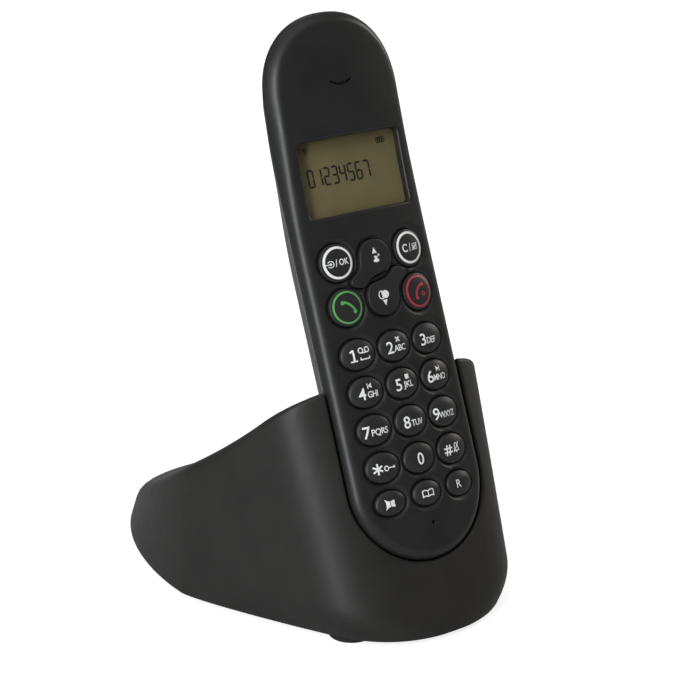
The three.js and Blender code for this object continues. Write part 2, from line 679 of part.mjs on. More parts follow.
// The egg-shaped outline of the base at a height, drawn in by inset: nose to tail, right side.
function halfOutline(height, inset) {
  const share = height / HORN_HEIGHT;
  const tuck = THREE.MathUtils.clamp(1 - (height - FOOT_HEIGHT) / TUCK_HEIGHT, 0, 1) ** 2;
  const nose = NOSE_Y + height * frontTan + inset;
  const cornerX = mix(CORNER_HALF_WIDTH, HORN_HALF_WIDTH, share) - NOSE_TUCK * tuck - inset;
  const rounding = mix(CORNER_ROUNDING, HORN_ROUNDING, share) + TUCK_ROUNDING * tuck;
  const crown = (x) => (x * x) / (2 * FRONT_CROWN_RADIUS);
  const corner = new THREE.Vector2(cornerX, nose + crown(cornerX));
  const side = new THREE.Vector2(mix(BASE_HALF_WIDTH, HORN_HALF_WIDTH + 1, share) - inset,
    mix(WIDEST_Y, hornY + 45, share));
  const tail = mix(TAIL_Y, hornY + 76, share) - inset;
  const flankStart = side.clone().sub(corner);
  flankStart.x *= 1.17;
  flankStart.setLength(rounding).add(corner);
  const frontEnd = new THREE.Vector2(cornerX - rounding, nose + crown(cornerX - rounding));
  const flankPull = flankStart.clone().sub(corner).setLength((side.y - flankStart.y) * 0.41).add(flankStart);
  const front = new THREE.QuadraticBezierCurve(new THREE.Vector2(0, nose),
    new THREE.Vector2(frontEnd.x / 2, nose), frontEnd);
  const bend = new THREE.QuadraticBezierCurve(frontEnd, corner, flankStart);
  const flank = new THREE.CubicBezierCurve(flankStart, flankPull,
    new THREE.Vector2(side.x, mix(side.y, flankStart.y, 0.11)), side);
  const rear = new THREE.CubicBezierCurve(side, new THREE.Vector2(side.x, mix(side.y, tail, 0.38)),
    new THREE.Vector2(side.x * 0.67, tail), new THREE.Vector2(0, tail));
  const points = [[front, 2], [bend, 4], [flank, 4], [rear, 6]].flatMap(([curve, count]) => (
    curve.getPoints(count).slice(0, -1)));
  return [...points, new THREE.Vector2(0, tail)];
}

function outline(height, inset) {
  const right = halfOutline(height, inset);
  const left = right.slice(1, -1).reverse().map((point) => new THREE.Vector2(-point.x, point.y));
  return [...right, ...left];
}

// The height at which outline point i meets the sloping top.
function rimHeight(i, inset, drop) {
  let height = HORN_HEIGHT / 2;
  for (let pass = 0; pass < 24; pass += 1) {
    const point = outline(height, inset)[i];
    height = mix(height, ridgeHeight(point.y) - drop, 0.6);
  }
  return height;
}

// The base's form: flanks up to the sloping top, with rounded bottom and top edges.
function baseForm(inset, floor) {
  const drop = inset * 1.25;
  const count = outline(0, inset).length;
  const rims = Array.from({ length: count }, (_, i) => rimHeight(i, inset, drop));
  const edge = (i) => (
    Math.min(mix(TOP_EDGE_AT_TAIL, TOP_EDGE_AT_HORNS, rims[i] / HORN_HEIGHT), rims[i] * 0.4));
  const rings = [];
  const flank = (heightOf, extraInset) => {
    rings.push(rims.map((_, i) => {
      const height = heightOf(i);
      const point = outline(height, inset + extraInset(i))[i];
      return new THREE.Vector3(point.x, point.y, height);
    }));
  };
  flank(() => floor, () => 0.5);
  flank(() => floor + 1.2, () => 0);
  flank((i) => Math.min(floor + 5, mix(floor, rims[i] - edge(i), 0.5)), () => 0);
  for (const share of [0.33, 0.67]) {
    flank((i) => mix(Math.min(floor + 8, rims[i] * 0.6), rims[i] - edge(i), share), () => 0);
  }
  flank((i) => rims[i] - edge(i), () => 0);
  flank((i) => rims[i] - edge(i) * 0.3, (i) => edge(i) * 0.3);
  flank((i) => rims[i], (i) => edge(i));
  return solid(loft(rings, stripTriangles));
}

// Turns a solid drawn in the handset's frame into the base's frame.
function fromHandsetFrame(body) {
  return body.rotate([90 - LEAN_DEG, 0, 0]).translate([0, HANDSET_FOOT_Y, HANDSET_FOOT_Z]);
}

// The room that the docked handset takes, open to the front and upwards.
function cradle(grow, floorGrow) {
  const form = handsetForm(grow, floorGrow, FAR / 2);
  const halfWidth = HANDSET_HALF_WIDTH + grow;
  const rings = [-widestDepth(0) - 0.5, FAR / 5].map((height) => (
    stadium(halfWidth, -floorGrow, HANDSET_LENGTH + FAR / 2, 0, () => height)));
  return fromHandsetFrame(form.add(solid(loft(rings))));
}

const WELL = { x: 19, y0: 62, y1: 92, wall: 1.5 };
const wellTop = ridgeHeight(WELL.y1 + WELL.wall) - BASE_WALL * 2 - SEAM - WELL_ROOM;
const baseScrews = [[-25, 47], [25, 47], [-26, 103], [26, 103]];
const footPlaces = [[-21.5, 16], [21.5, 16], [-30, 92], [30, 92]];
const coverTop = FOOT_HEIGHT + 0.2 + COVER_THICKNESS;
const slopeAngle = Math.atan(ridgeHeight(LOCATE_Y - 0.5) - ridgeHeight(LOCATE_Y + 0.5));

// Turns a solid drawn round z, with z = 0 on the sloping top, to the locate button's place.
function onSlope(body) {
  const degrees = THREE.MathUtils.radToDeg(slopeAngle);
  return body.rotate([-degrees, 0, 0]).translate([0, LOCATE_Y, ridgeHeight(LOCATE_Y)]);
}

function pinBoss(side) {
  const bottom = CHARGE_CONTACT_HEIGHT - PIN_GUIDE;
  return fromHandsetFrame(rodAlong(side * CHARGE_CONTACT_X, bottom, 7, -CHARGE_CONTACT_DEPTH, 3, 14));
}

function pinBore(side) {
  const x = side * CHARGE_CONTACT_X;
  return fromHandsetFrame(rodAlong(x, -20, 20, -CHARGE_CONTACT_DEPTH, PIN_RADIUS + SEAM, 12));
}

function baseShell() {
  const outer = baseForm(0, FOOT_HEIGHT);
  const lining = cradle(CRADLE_GAP + BASE_WALL, SEAT_GAP + BASE_WALL);
  let hollow = baseForm(BASE_WALL, FOOT_HEIGHT - 4).subtract(lining);
  for (const side of [-1, 1]) {
    hollow = hollow.subtract(pinBoss(side));
  }
  for (const [x, y] of baseScrews) {
    hollow = hollow.subtract(rod(x, y, coverTop + SEAM, FAR, 3, 14));
  }
  let shell = outer.subtract(hollow).subtract(cradle(CRADLE_GAP, SEAT_GAP));
  for (const side of [-1, 1]) {
    shell = shell.subtract(pinBore(side));
  }
  for (const [x, y] of baseScrews) {
    shell = shell.subtract(rod(x, y, -FAR, coverTop + 9, SCREW_SHANK + SEAM, 12));
  }
  return shell.subtract(onSlope(rod(0, 0, -8, 8, LOCATE_RADIUS + SEAM, 20)));
}

function bottomCover() {
  const bottom = FOOT_HEIGHT + 0.2;
  const rings = [bottom, coverTop].map((height) => (
    outline(height, BASE_WALL + SEAM * 3.5).map((point) => new THREE.Vector3(point.x, point.y, height))));
  let cover = solid(loft(rings, stripTriangles));
  const { x, y0, y1, wall } = WELL;
  cover = cover.add(box(-x - wall, x + wall, y0 - wall, y1 + wall, bottom, wellTop));
  cover = cover.subtract(box(-x, x, y0, y1, -FAR, wellTop - wall));
  for (const side of [-1, 1]) {
    cover = cover.subtract(socketBox(side, SEAM, y0 - 12, y0 + 1));
  }
  for (const [px, py] of [[-20, 34], [20, 34], [0, 24]]) {
    cover = cover.add(rod(px, py, bottom + 1, BASE_BOARD_HEIGHT - SEAM, 2, 10));
  }
  for (const [px, py] of baseScrews) {
    cover = cover.subtract(rod(px, py, -FAR, bottom + 1.4, SCREW_HEAD + SEAM, 14));
    cover = cover.subtract(rod(px, py, -FAR, FAR, SCREW_SHANK + SEAM, 12));
  }
  return cover;
}

const SOCKET = { x: 9.5, halfWidth: 6.2, bottom: 5.0, depth: 14, mouthDepth: 11 };

function socketBox(side, margin, y0, y1) {
  const x = side * SOCKET.x;
  const halfWidth = SOCKET.halfWidth + margin;
  return box(x - halfWidth, x + halfWidth, y0, y1, SOCKET.bottom - margin, BASE_BOARD_HEIGHT - SEAM + margin);
}

// A modular socket: a box with a stepped mouth that opens to the rear.
function socket(side, mouthHalfWidth) {
  const y1 = WELL.y0 - 0.4;
  const x = side * SOCKET.x;
  const body = socketBox(side, 0, y1 - SOCKET.depth, y1);
  const start = y1 - SOCKET.mouthDepth;
  const mouthTop = SOCKET.bottom + 5.6;
  const mouth = box(x - mouthHalfWidth, x + mouthHalfWidth, start, y1 + 1, SOCKET.bottom + 1, mouthTop);
  const latch = box(x - 2, x + 2, start, y1 + 1, mouthTop - 0.2, mouthTop + 1.6);
  return body.subtract(mouth).subtract(latch);
}

function baseBoard() {
  const rear = WELL.y0 - WELL.wall - SEAM;
  const board = box(-BASE_BOARD_HALF_WIDTH, BASE_BOARD_HALF_WIDTH, BASE_BOARD_FRONT, rear,
    BASE_BOARD_HEIGHT, BASE_BOARD_HEIGHT + BOARD_THICKNESS);
  let cut = board;
  for (const [x, y] of baseScrews) {
    cut = cut.subtract(rod(x, y, -FAR, FAR, 3 + SEAM, 14));
  }
  return cut;
}

function chargePin(side) {
  const tip = CHARGE_CONTACT_HEIGHT - SEAM;
  const boss = CHARGE_CONTACT_HEIGHT - PIN_GUIDE;
  const profile = [[0, boss - 4.5], [PIN_RADIUS, boss - 4.5], [PIN_RADIUS, boss - 1.4], [1.9, boss - 1.4],
    [1.9, boss - SEAM], [PIN_RADIUS, boss - SEAM], [PIN_RADIUS, tip - 0.5], [PIN_RADIUS * 0.5, tip],
    [0, tip]];
  const geometry = turned(profile, 12);
  geometry.rotateX(-Math.PI / 2);
  geometry.translate(side * CHARGE_CONTACT_X, 0, -CHARGE_CONTACT_DEPTH);
  return fromHandsetFrame(solid(geometry));
}

function locateButton() {
  const under = -BASE_WALL * 1.25 - SEAM * 3;
  const profile = [[0, under - 1.2], [LOCATE_RADIUS + 1, under - 1.2], [LOCATE_RADIUS + 1, under],
    [LOCATE_RADIUS, under], [LOCATE_RADIUS, 0.3], [LOCATE_RADIUS - 0.6, 0.8], [0, 1.1]];
  return onSlope(solid(turned(profile, 20)));
}

function foot([x, y]) {
  return turnedAt(x, y, [[0, 0], [FOOT_RADIUS - 0.5, 0], [FOOT_RADIUS, 0.5], [FOOT_RADIUS, FOOT_HEIGHT - 0.1],
    [0, FOOT_HEIGHT - 0.1]]);
}

function turnedAt(x, y, profile) {
  const geometry = turned(profile, 12);
  geometry.translate(x, y, 0);
  return geometry;
}

function baseScrew([x, y]) {
  const head = FOOT_HEIGHT + 0.2 + 1.4 - SEAM;
  return turnedAt(x, y, [[0, head - 1], [SCREW_HEAD, head - 1], [SCREW_HEAD, head], [SCREW_SHANK, head],
    [SCREW_SHANK, coverTop + 7], [0, coverTop + 8]]);
}

// ---- Assembly ----

const phone = new THREE.Group();
phone.position.set(0, -(NOSE_Y + TAIL_Y) / 2, 0);
const handset = new THREE.Group();
handset.rotation.x = Math.PI / 2 - THREE.MathUtils.degToRad(LEAN_DEG);
handset.position.set(0, HANDSET_FOOT_Y, HANDSET_FOOT_Z);
phone.add(handset);

function place(group, name, shape, look) {
  const geometry = shape.isBufferGeometry ? shape : geometryOf(shape);
  const mesh = new THREE.Mesh(geometry, new THREE.MeshStandardMaterial(look));
  mesh.name = name;
  group.add(mesh);
}

place(handset, 'front_cover', frontCover(), CASE_BLACK);
place(handset, 'rear_cover', rearCover(), CASE_BLACK);
place(handset, 'battery_door', batteryDoor(), CASE_BLACK);
place(handset, 'display_window', displayWindow(), CLEAR);
place(handset, 'display_module', displayModule(), DISPLAY_OLIVE);
place(handset, 'display_holder', displayHolder(), CREAM);
for (const key of KEYS) {
  place(handset, key.node, key.halfWidth ? ovalKey(key) : curvedKey(key), KEY_BLACK);
}
place(handset, 'keypad_membrane', keypadMembrane(), RUBBER_GREY);
place(handset, 'handset_board', handsetBoard(), BOARD_GREEN);
place(handset, 'radio_shield', shieldCan(), STEEL);
place(handset, 'earpiece_receiver', receiver(), STEEL);
place(handset, 'loudspeaker', loudspeaker(), STEEL);
place(handset, 'microphone', microphone(), STEEL);
place(handset, 'cell_left', cell(-1), CELL_GREEN);
place(handset, 'cell_right', cell(1), CELL_GREEN);
place(handset, 'battery_contact_top', batteryContact(true), STEEL);
place(handset, 'battery_contact_bottom', batteryContact(false), STEEL);
place(handset, 'charge_contact_left', chargeContact(-1), GOLD);
place(handset, 'charge_contact_right', chargeContact(1), GOLD);
screwPlaces.forEach((spot, i) => place(handset, `handset_screw_${i + 1}`, caseScrew(spot), STEEL));

place(phone, 'base_shell', baseShell(), CASE_BLACK);
place(phone, 'bottom_cover', bottomCover(), CASE_BLACK);
place(phone, 'base_board', baseBoard(), BOARD_GREEN);
place(phone, 'charge_pin_left', chargePin(-1), GOLD);
place(phone, 'charge_pin_right', chargePin(1), GOLD);
place(phone, 'locate_button', locateButton(), KEY_BLACK);
place(phone, 'line_socket', socket(-1, LINE_MOUTH_HALF_WIDTH), CREAM);
place(phone, 'power_socket', socket(1, POWER_MOUTH_HALF_WIDTH), KEY_BLACK);
footPlaces.forEach((spot, i) => place(phone, `foot_${i + 1}`, foot(spot), RUBBER_GREY));
baseScrews.forEach((spot, i) => place(phone, `base_screw_${i + 1}`, baseScrew(spot), STEEL));

export default phone;
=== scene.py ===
# Cordless phone in its charging base: the looks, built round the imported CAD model.
# Shapes are worked out in millimetres and written in metres. Handset shapes use the handset's own
# frame: x across, v along its length from the bottom end, w out of its front.

import math

import bmesh
import bpy
import numpy as np
from mathutils import Matrix, Vector
from mathutils.geometry import delaunay_2d_cdt


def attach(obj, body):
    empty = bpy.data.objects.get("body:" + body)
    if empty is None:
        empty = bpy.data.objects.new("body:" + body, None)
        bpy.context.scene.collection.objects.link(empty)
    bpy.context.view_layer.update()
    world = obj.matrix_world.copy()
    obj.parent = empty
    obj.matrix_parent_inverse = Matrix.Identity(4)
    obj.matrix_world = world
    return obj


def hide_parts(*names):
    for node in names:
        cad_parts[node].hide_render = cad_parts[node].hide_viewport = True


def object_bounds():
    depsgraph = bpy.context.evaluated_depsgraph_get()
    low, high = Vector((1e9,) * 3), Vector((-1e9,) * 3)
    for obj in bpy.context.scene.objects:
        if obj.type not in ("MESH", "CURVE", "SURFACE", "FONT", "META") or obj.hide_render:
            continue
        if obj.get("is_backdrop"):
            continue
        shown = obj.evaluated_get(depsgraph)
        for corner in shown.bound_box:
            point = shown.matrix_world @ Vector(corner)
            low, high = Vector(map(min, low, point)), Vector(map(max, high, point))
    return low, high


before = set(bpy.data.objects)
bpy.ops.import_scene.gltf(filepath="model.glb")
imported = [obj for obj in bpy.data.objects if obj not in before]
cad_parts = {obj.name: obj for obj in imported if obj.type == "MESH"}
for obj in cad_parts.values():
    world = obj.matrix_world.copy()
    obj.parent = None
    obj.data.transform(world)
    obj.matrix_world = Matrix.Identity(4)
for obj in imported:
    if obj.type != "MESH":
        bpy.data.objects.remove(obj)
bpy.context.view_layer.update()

# ---- Sizes shared with the CAD model, in mm ----

LENGTH = 153.1
HALF_WIDTH = 22.3
THICKNESS = 25.0
CROWN_RADIUS = 99.0
EDGE = 3.0
WIDEST = EDGE + HALF_WIDTH ** 2 / (2 * CROWN_RADIUS)
TAPER = (83.0, 138.0)
TOP_SHARE = 0.5
TOP_BACK_SLOPE = 1.6
END_LENGTH = 22.6
END_FULLNESS = 2.27
TOP_BEND = 1.1
BEND = (105.0, 160.0)
TOP_EDGE_SHARE = 0.4
EDGE_THINS = (110.0, 148.0)
PARTING = 6.4
SEAM = 0.3
BACK_FLAT = (0.26, 0.55)
BACK_SIDE = 5.0
LEAN = math.radians(21.3)
FOOT = (3.2, 21.8)

COLUMN_PITCH = 12.1
ROW_PITCH = 10.5
FIRST_ROW = 28.2
KEY = (5.25, 4.2)
SMALL_ROW = 18.3
SMALL_KEY = (4.7, 3.5)
RING_COLUMN = 12.3
RING_RADIUS = 5.2
CLUSTER = 79.0
RING_ROW = 6.2
KEY_GAP = 0.3
FLANGE_DEPTH = 3.9

DISPLAY = (0.0, 108.35, 17.1, 10.45)
EARPIECE = 132.4
MIC = 10.0
DOOR = (13.6, 50.5, 101.5)

BASE_SHIFT = 66.1
NOSE_Y = -3.7
TAIL_Y = 135.9
BASE_HALF_WIDTH = 47.7
FRONT_TAN = math.tan(LEAN)
FRONT_CROWN = 104.0
CORNER_HALF_WIDTH = 28.0
CORNER_ROUNDING = 12.2
HORN_ROUNDING = 13.7
NOSE_TUCK = 7.0
TUCK_HEIGHT = 10.0
TUCK_ROUNDING = 4.5
HORN_HALF_WIDTH = 36.8
HORN_HEIGHT = 70.8
HORN_Y = NOSE_Y + HORN_HEIGHT * FRONT_TAN
TAIL_RIDGE_HEIGHT = 6.6
RIDGE_SAG = 0.003
TAIL_FALL_LENGTH = 71.0
RIDGE_RUN = TAIL_Y - HORN_Y
RIDGE_FALL = HORN_HEIGHT - TAIL_RIDGE_HEIGHT - (RIDGE_RUN / TAIL_FALL_LENGTH) ** 3
RIDGE_SLOPE = RIDGE_FALL / RIDGE_RUN + RIDGE_SAG * RIDGE_RUN
WIDEST_Y = 62.7
FOOT_HEIGHT = 1.6
BASE_WALL = 2.2
CRADLE_GAP = 0.9
SEAT_GAP = 0.35
LOCATE_Y = 84.0
LOCATE_RADIUS = 6.5
BASE_EDGE = 0.8
CREST_RADIUS = 4.6
CREST_NARROWS = 3.0
CREST_SHARE = 0.4
LEAST_CREST = 0.6

# ---- Modelling: welds in mm, and how many points are worked on at once ----

WELD = 0.004
LATHE_WELD = 0.001
FINE_WELD = 0.0001
BATCH = 4000


# ---- Camera ----

def photo_camera():
    centre = Vector((-353.6, -422.6 - BASE_SHIFT, 275.4)) / 1000
    right = Vector((0.8007, -0.599, 0.0)).normalized()
    back = Vector((-0.5665, -0.757, 0.3256)).normalized()
    up = back.cross(right)
    data = bpy.data.cameras.new("camera")
    data.lens = 116.5
    data.sensor_width = 36.0
    data.clip_start = 0.01
    camera = bpy.data.objects.new("camera", data)
    turn = Matrix((right, up, back)).transposed().to_4x4()
    camera.matrix_world = Matrix.Translation(centre) @ turn
    bpy.context.collection.objects.link(camera)
    bpy.context.scene.camera = camera


photo_camera()
# ---- Frames ----

def handset_to_row(points):
    """Handset (x, v, w) in mm to the row frame in mm."""
    points = np.asarray(points, float)
    x, v, w = points[..., 0], points[..., 1], points[..., 2]
    sin, cos = math.sin(LEAN), math.cos(LEAN)
    return np.stack([x, FOOT[0] + sin * v - cos * w - BASE_SHIFT, FOOT[1] + cos * v + sin * w], -1)


def base_to_row(points):
    """Base (x, y from the nose's zero, z) in mm to the row frame in mm."""
    return np.asarray(points, float) - (0, BASE_SHIFT, 0)


def handset_to_base(points):
    return handset_to_row(points) + (0, BASE_SHIFT, 0)


def base_to_handset(points):
    sin, cos = math.sin(LEAN), math.cos(LEAN)
    y = points[..., 1] - FOOT[0]
    z = points[..., 2] - FOOT[1]
    return np.stack([points[..., 0], sin * y + cos * z, -cos * y + sin * z], -1)


# ---- Small maths ----

def smoothstep(value, low, high):
    t = np.clip((value - low) / (high - low), 0, 1)
    return t * t * (3 - 2 * t)


def unit(v):
    v = np.asarray(v, float)
    return v / np.linalg.norm(v, axis=-1)[..., None]


def look_up(table, i, j):
    """Values of a table at places between its rows and columns."""
    i, j = np.clip(i, 0, table.shape[0] - 1.001), np.clip(j, 0, table.shape[1] - 1.001)
    i0, j0 = i.astype(int), j.astype(int)
    fi, fj = i - i0, j - j0
    near = table[i0, j0] * (1 - fj) + table[i0, j0 + 1] * fj
    far = table[i0 + 1, j0] * (1 - fj) + table[i0 + 1, j0 + 1] * fj
    return near * (1 - fi) + far * fi


def halve(low, high, beyond, passes):
    """Draws each low and high together, round the place where a test turns true."""
    for _ in range(passes):
        middle = (low + high) / 2
        out = beyond(middle)
        high = np.where(out, middle, high)
        low = np.where(out, low, middle)
    return low, high


# ---- Loops and curves ----

def arc(centre, radius, start, end, count, last=True):
    """Points on a round or oval arc between two angles in degrees."""
    turn = np.radians(np.linspace(start, end, count, endpoint=last))
    return np.asarray(centre) + np.broadcast_to(radius, 2) * np.stack([np.cos(turn), np.sin(turn)], 1)


def ellipse(centre, half, count=64):
    return arc(centre, half, 0, 360, count, False)


def bezier(points, count, last=True):
    """Points along a Bezier curve of any degree."""
    t = np.linspace(0, 1, count + 1)[:, None]
    if not last:
        t = t[:-1]
    layers = [np.broadcast_to(np.asarray(p, float), (len(t), len(points[0]))) for p in points]
    while len(layers) > 1:
        layers = [a + (b - a) * t for a, b in zip(layers, layers[1:])]
    return layers[0]


def closer(points, spacing, closed, rounding=math.ceil):
    """A line with points added until none are further apart than the spacing."""
    ends = np.vstack([points, points[:1]]) if closed else points
    out = []
    for a, b in zip(ends, ends[1:]):
        count = max(1, rounding(np.linalg.norm(b - a) / spacing))
        out.extend(a + (b - a) * k / count for k in range(count))
    return np.array(out if closed else out + [points[-1]])


def rounded_box(centre, half, radius, corner=8, spacing=1.0):
    """An anticlockwise rectangle with round corners."""
    inner = np.array(half) - radius
    corners = [arc(centre + inner * way, radius, k * 90, k * 90 + 90, corner + 1)
               for k, way in enumerate([(1, 1), (-1, 1), (-1, -1), (1, -1)])]
    return closer(np.vstack(corners), spacing, True, int)


def resample(loop, spacing=None, count=None):
    """A closed loop with its points spread evenly."""
    closed = np.vstack([loop, loop[:1]])
    steps = np.linalg.norm(np.diff(closed, axis=0), axis=1)
    along = np.r_[0, np.cumsum(steps)]
    count = count or max(12, int(round(along[-1] / spacing)))
    places = np.linspace(0, along[-1], count, endpoint=False)
    return np.stack([np.interp(places, along, closed[:, k]) for k in range(loop.shape[1])], 1)


def whole(half):
    """A closed loop from its right half, which runs from nose to tail."""
    return np.vstack([half, half[-2:0:-1] * ((-1, 1, 1)[:half.shape[1]])])


def offset_loop(loop, grow):
    """A 2-D anticlockwise loop moved outwards by grow along its normals."""
    ahead = unit(np.roll(loop, -1, axis=0) - np.roll(loop, 1, axis=0))
    return loop + grow * np.stack([ahead[:, 1], -ahead[:, 0]], 1)


def drawn_in(ring, by):
    """A loop in space with its plan drawn in."""
    return np.c_[offset_loop(ring[:, :2], -by), ring[:, 2]]


def level(loop, height):
    """A flat loop at a height."""
    return np.c_[loop, np.full(len(loop), height)]


def nearest(points, loop):
    """Distance from each point to a closed loop."""
    ab = np.roll(loop, -1, axis=0) - loop
    out = np.empty(len(points))
    for start in range(0, len(points), BATCH):
        p = points[start:start + BATCH, None, :] - loop[None]
        t = np.clip((p * ab).sum(-1) / np.maximum((ab * ab).sum(-1), 1e-12), 0, 1)
        out[start:start + BATCH] = np.sqrt(((p - t[..., None] * ab) ** 2).sum(-1)).min(1)
    return out


def inside(points, loop):
    """Whether each point lies inside a closed loop, by counting crossings."""
    a = loop
    b = np.roll(loop, -1, axis=0)
    out = np.zeros(len(points), bool)
    for start in range(0, len(points), BATCH):
        p = points[start:start + BATCH, None, :]
        crosses = (a[:, 1] > p[..., 1]) != (b[:, 1] > p[..., 1])
        rise = np.where(np.abs(b[:, 1] - a[:, 1]) < 1e-12, 1e-12, b[:, 1] - a[:, 1])
        x = a[:, 0] + (p[..., 1] - a[:, 1]) * (b[:, 0] - a[:, 0]) / rise
        out[start:start + BATCH] = (crosses & (p[..., 0] < x)).sum(1) % 2 == 1
    return out


# ---- Points spread over a sheet ----

def beside(points, loop, margin):
    """Which points lie within a margin of a loop's box."""
    return (np.abs(points - loop.mean(0)) < np.ptp(loop, axis=0) / 2 + margin).all(1)


def clear_of(points, loops, gap):
    """Which points lie outside every loop, by a gap or more."""
    keep = np.ones(len(points), bool)
    for loop in loops:
        near = beside(points, loop, 1.0)
        here = points[near]
        keep[near] &= ~(inside(here, loop) | (nearest(here, loop) < gap))
    return keep


def grid(low, high, spacing):
    """Points of a triangular grid over a rectangle."""
    rows = np.arange(low[1], high[1], spacing * 0.866)
    out = []
    for k, y in enumerate(rows):
        xs = np.arange(low[0] + (k % 2) * spacing / 2, high[0], spacing)
        out.append(np.stack([xs, np.full(len(xs), y)], 1))
    return np.vstack(out)


def spots_in(loop, spacing, gap, box=None):
    """Grid points over a loop or a larger box, kept where they lie inside the loop by a gap."""
    box = loop if box is None else box
    spots = grid(box.min(0), box.max(0), spacing)
    spots = spots[inside(spots, loop)]
    return spots[nearest(spots, loop) > gap]


def close_marks(cells, place, gap):
    i, j = int(place[0] // gap), int(place[1] // gap)
    return [mark for di in (-1, 0, 1) for dj in (-1, 0, 1) for mark in cells.get((i + di, j + dj), ())]


def into_cells(cells, place, gap):
    cells.setdefault((int(place[0] // gap), int(place[1] // gap)), []).append(place)


def apart(spots, marks, gap):
    """Which spots lie further than a gap from every mark."""
    cells = {}
    for mark in marks:
        into_cells(cells, mark, gap)
    return np.array([all(math.dist(spot, mark) > gap for mark in close_marks(cells, spot, gap))
                     for spot in spots])


def thin(points, gap):
    """Points with those too close to an earlier one left out."""
    cells = {}
    out = []
    for p in points:
        if all(math.dist(p, mark) > gap for mark in close_marks(cells, p, gap)):
            into_cells(cells, p, gap)
            out.append(p)
    return np.array(out)


# ---- Meshes ----

class Shape:
    """Patches of one surface, welded where their edges meet."""

    def __init__(self):
        self.points = []
        self.faces = []
        self.count = 0

    def add(self, points, faces):
        self.points.append(np.asarray(points, float))
        self.faces.extend([tuple(int(i) + self.count for i in face) for face in faces])
        self.count += len(points)

    def strip(self, loops):
        """Quads between closed loops of equal count."""
        count = len(loops[0])
        faces = []
        for k in range(len(loops) - 1):
            for i in range(count):
                j = (i + 1) % count
                faces.append((k * count + i, k * count + j, (k + 1) * count + j, (k + 1) * count + i))
        self.add(np.vstack(loops), faces)

    def cap(self, loop):
        self.add(loop, [range(len(loop))])

    def tube(self, loops):
        """A solid through loops from its bottom to its top."""
        self.strip(loops)
        self.cap(loops[0][::-1])
        self.cap(loops[-1])

    def block(self, x0, x1, y0, y1, z0, z1):
        corners = [(x, y, z) for z in (z0, z1) for y in (y0, y1) for x in (x0, x1)]
        self.add(corners, [(0, 2, 3, 1), (4, 5, 7, 6), (0, 1, 5, 4),
                           (2, 6, 7, 3), (0, 4, 6, 2), (1, 3, 7, 5)])

    def lathe(self, profile, count, place):
        """A closed turned solid: a profile of (radius, height) from bottom to top, moved by place."""
        ring = ellipse((0, 0), 1, count)
        loops = [place(level(ring * radius, height)) for radius, height in profile if radius > 0]
        self.strip(loops)
        for loop, height, way in ((loops[0], profile[0][1], -1), (loops[-1], profile[-1][1], 1)):
            middle = place(np.array([[0.0, 0.0, height]]))
            fan = [(i, (i + 1) % count, count)[::way] for i in range(count)]
            self.add(np.vstack([loop, middle]), fan)

    def sheet(self, spots, lifted, loops, holes=(), lift=None):
        """Triangles over flat spots, kept inside the outer loop and outside the holes.
        loops are flat closed loops that the triangles keep to, and lifted their places in space."""
        flat_points = [Vector(p) for p in spots]
        points = [lift(np.asarray(spots, float))] if len(spots) else [np.zeros((0, 3))]
        edges = []
        start = len(spots)
        for loop, place in zip(loops, lifted):
            count = len(loop)
            flat_points.extend(Vector(p) for p in loop)
            edges.extend((start + i, start + (i + 1) % count) for i in range(count))
            points.append(np.asarray(place, float))
            start += count
        corners, _, triangles, origins, *_ = delaunay_2d_cdt(flat_points, edges, [], 0, 1e-7)
        triangles = np.array(triangles)
        middle = np.array([tuple(v) for v in corners])[triangles].mean(1)
        keep = inside(middle, np.asarray(loops[0]))
        for hole in holes:
            near = beside(middle, hole, np.ptp(hole, axis=0) / 2)
            keep[near] &= ~inside(middle[near], hole)
        source = np.array([origin[0] for origin in origins])
        self.add(np.vstack(points), source[triangles[keep]])

    def build(self, name, to_row, weld=WELD):
        points = to_row(np.vstack(self.points)) / 1000
        piece = mesh_object(name, points, self.faces)
        work = bmesh.new()
        work.from_mesh(piece.data)
        bmesh.ops.remove_doubles(work, verts=work.verts, dist=weld / 1000)
        bmesh.ops.dissolve_degenerate(work, edges=work.edges, dist=weld / 4000)
        loose = [v for v in work.verts if not v.link_faces]
        bmesh.ops.delete(work, geom=loose, context="VERTS")
        bmesh.ops.recalc_face_normals(work, faces=work.faces)
        work.to_mesh(piece.data)
        work.free()
        return piece


def mesh_object(name, points, faces):
    mesh = bpy.data.meshes.new(name)
    mesh.from_pydata(points.tolist(), [], faces)
    piece = bpy.data.objects.new(name, mesh)
    bpy.context.collection.objects.link(piece)
    return piece


def evaluated_mesh(piece):
    return bpy.data.meshes.new_from_object(piece.evaluated_get(bpy.context.evaluated_depsgraph_get()))


def cut(piece, tool, how="DIFFERENCE"):
    """Cuts or joins a closed mesh with another, which is used up."""
    change = piece.modifiers.new(how, "BOOLEAN")
    change.operation = how
    change.solver = "MANIFOLD"
    change.object = tool
    mesh = evaluated_mesh(piece)
    piece.modifiers.clear()
    piece.data = mesh
    bpy.data.objects.remove(tool)


def tube(name, loops, to_row, weld=FINE_WELD):
    shape = Shape()
    shape.tube(loops)
    return shape.build(name, to_row, weld)


def blocks(name, to_row, *boxes):
    shape = Shape()
    for box in boxes:
        shape.block(*box)
    return shape.build(name, to_row, FINE_WELD)


def lathe_piece(name, profile, count, place, to_row=base_to_row):
    shape = Shape()
    shape.lathe(profile, count, place)
    return shape.build(name, to_row, LATHE_WELD)


def upright(x, y):
    return lambda q: q + (x, y, 0)


def finish_piece(piece, material, body, node=None, angle=32):
    """Shades a piece, gives it its material and body, and hides the CAD node that it stands for."""
    piece.data.shade_smooth()
    piece.data.set_sharp_from_angle(angle=math.radians(angle))
    piece.data.materials.clear()
    piece.data.materials.append(material)
    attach(piece, body)
    if node:
        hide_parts(node)
    return piece




# ---- The base's form ----

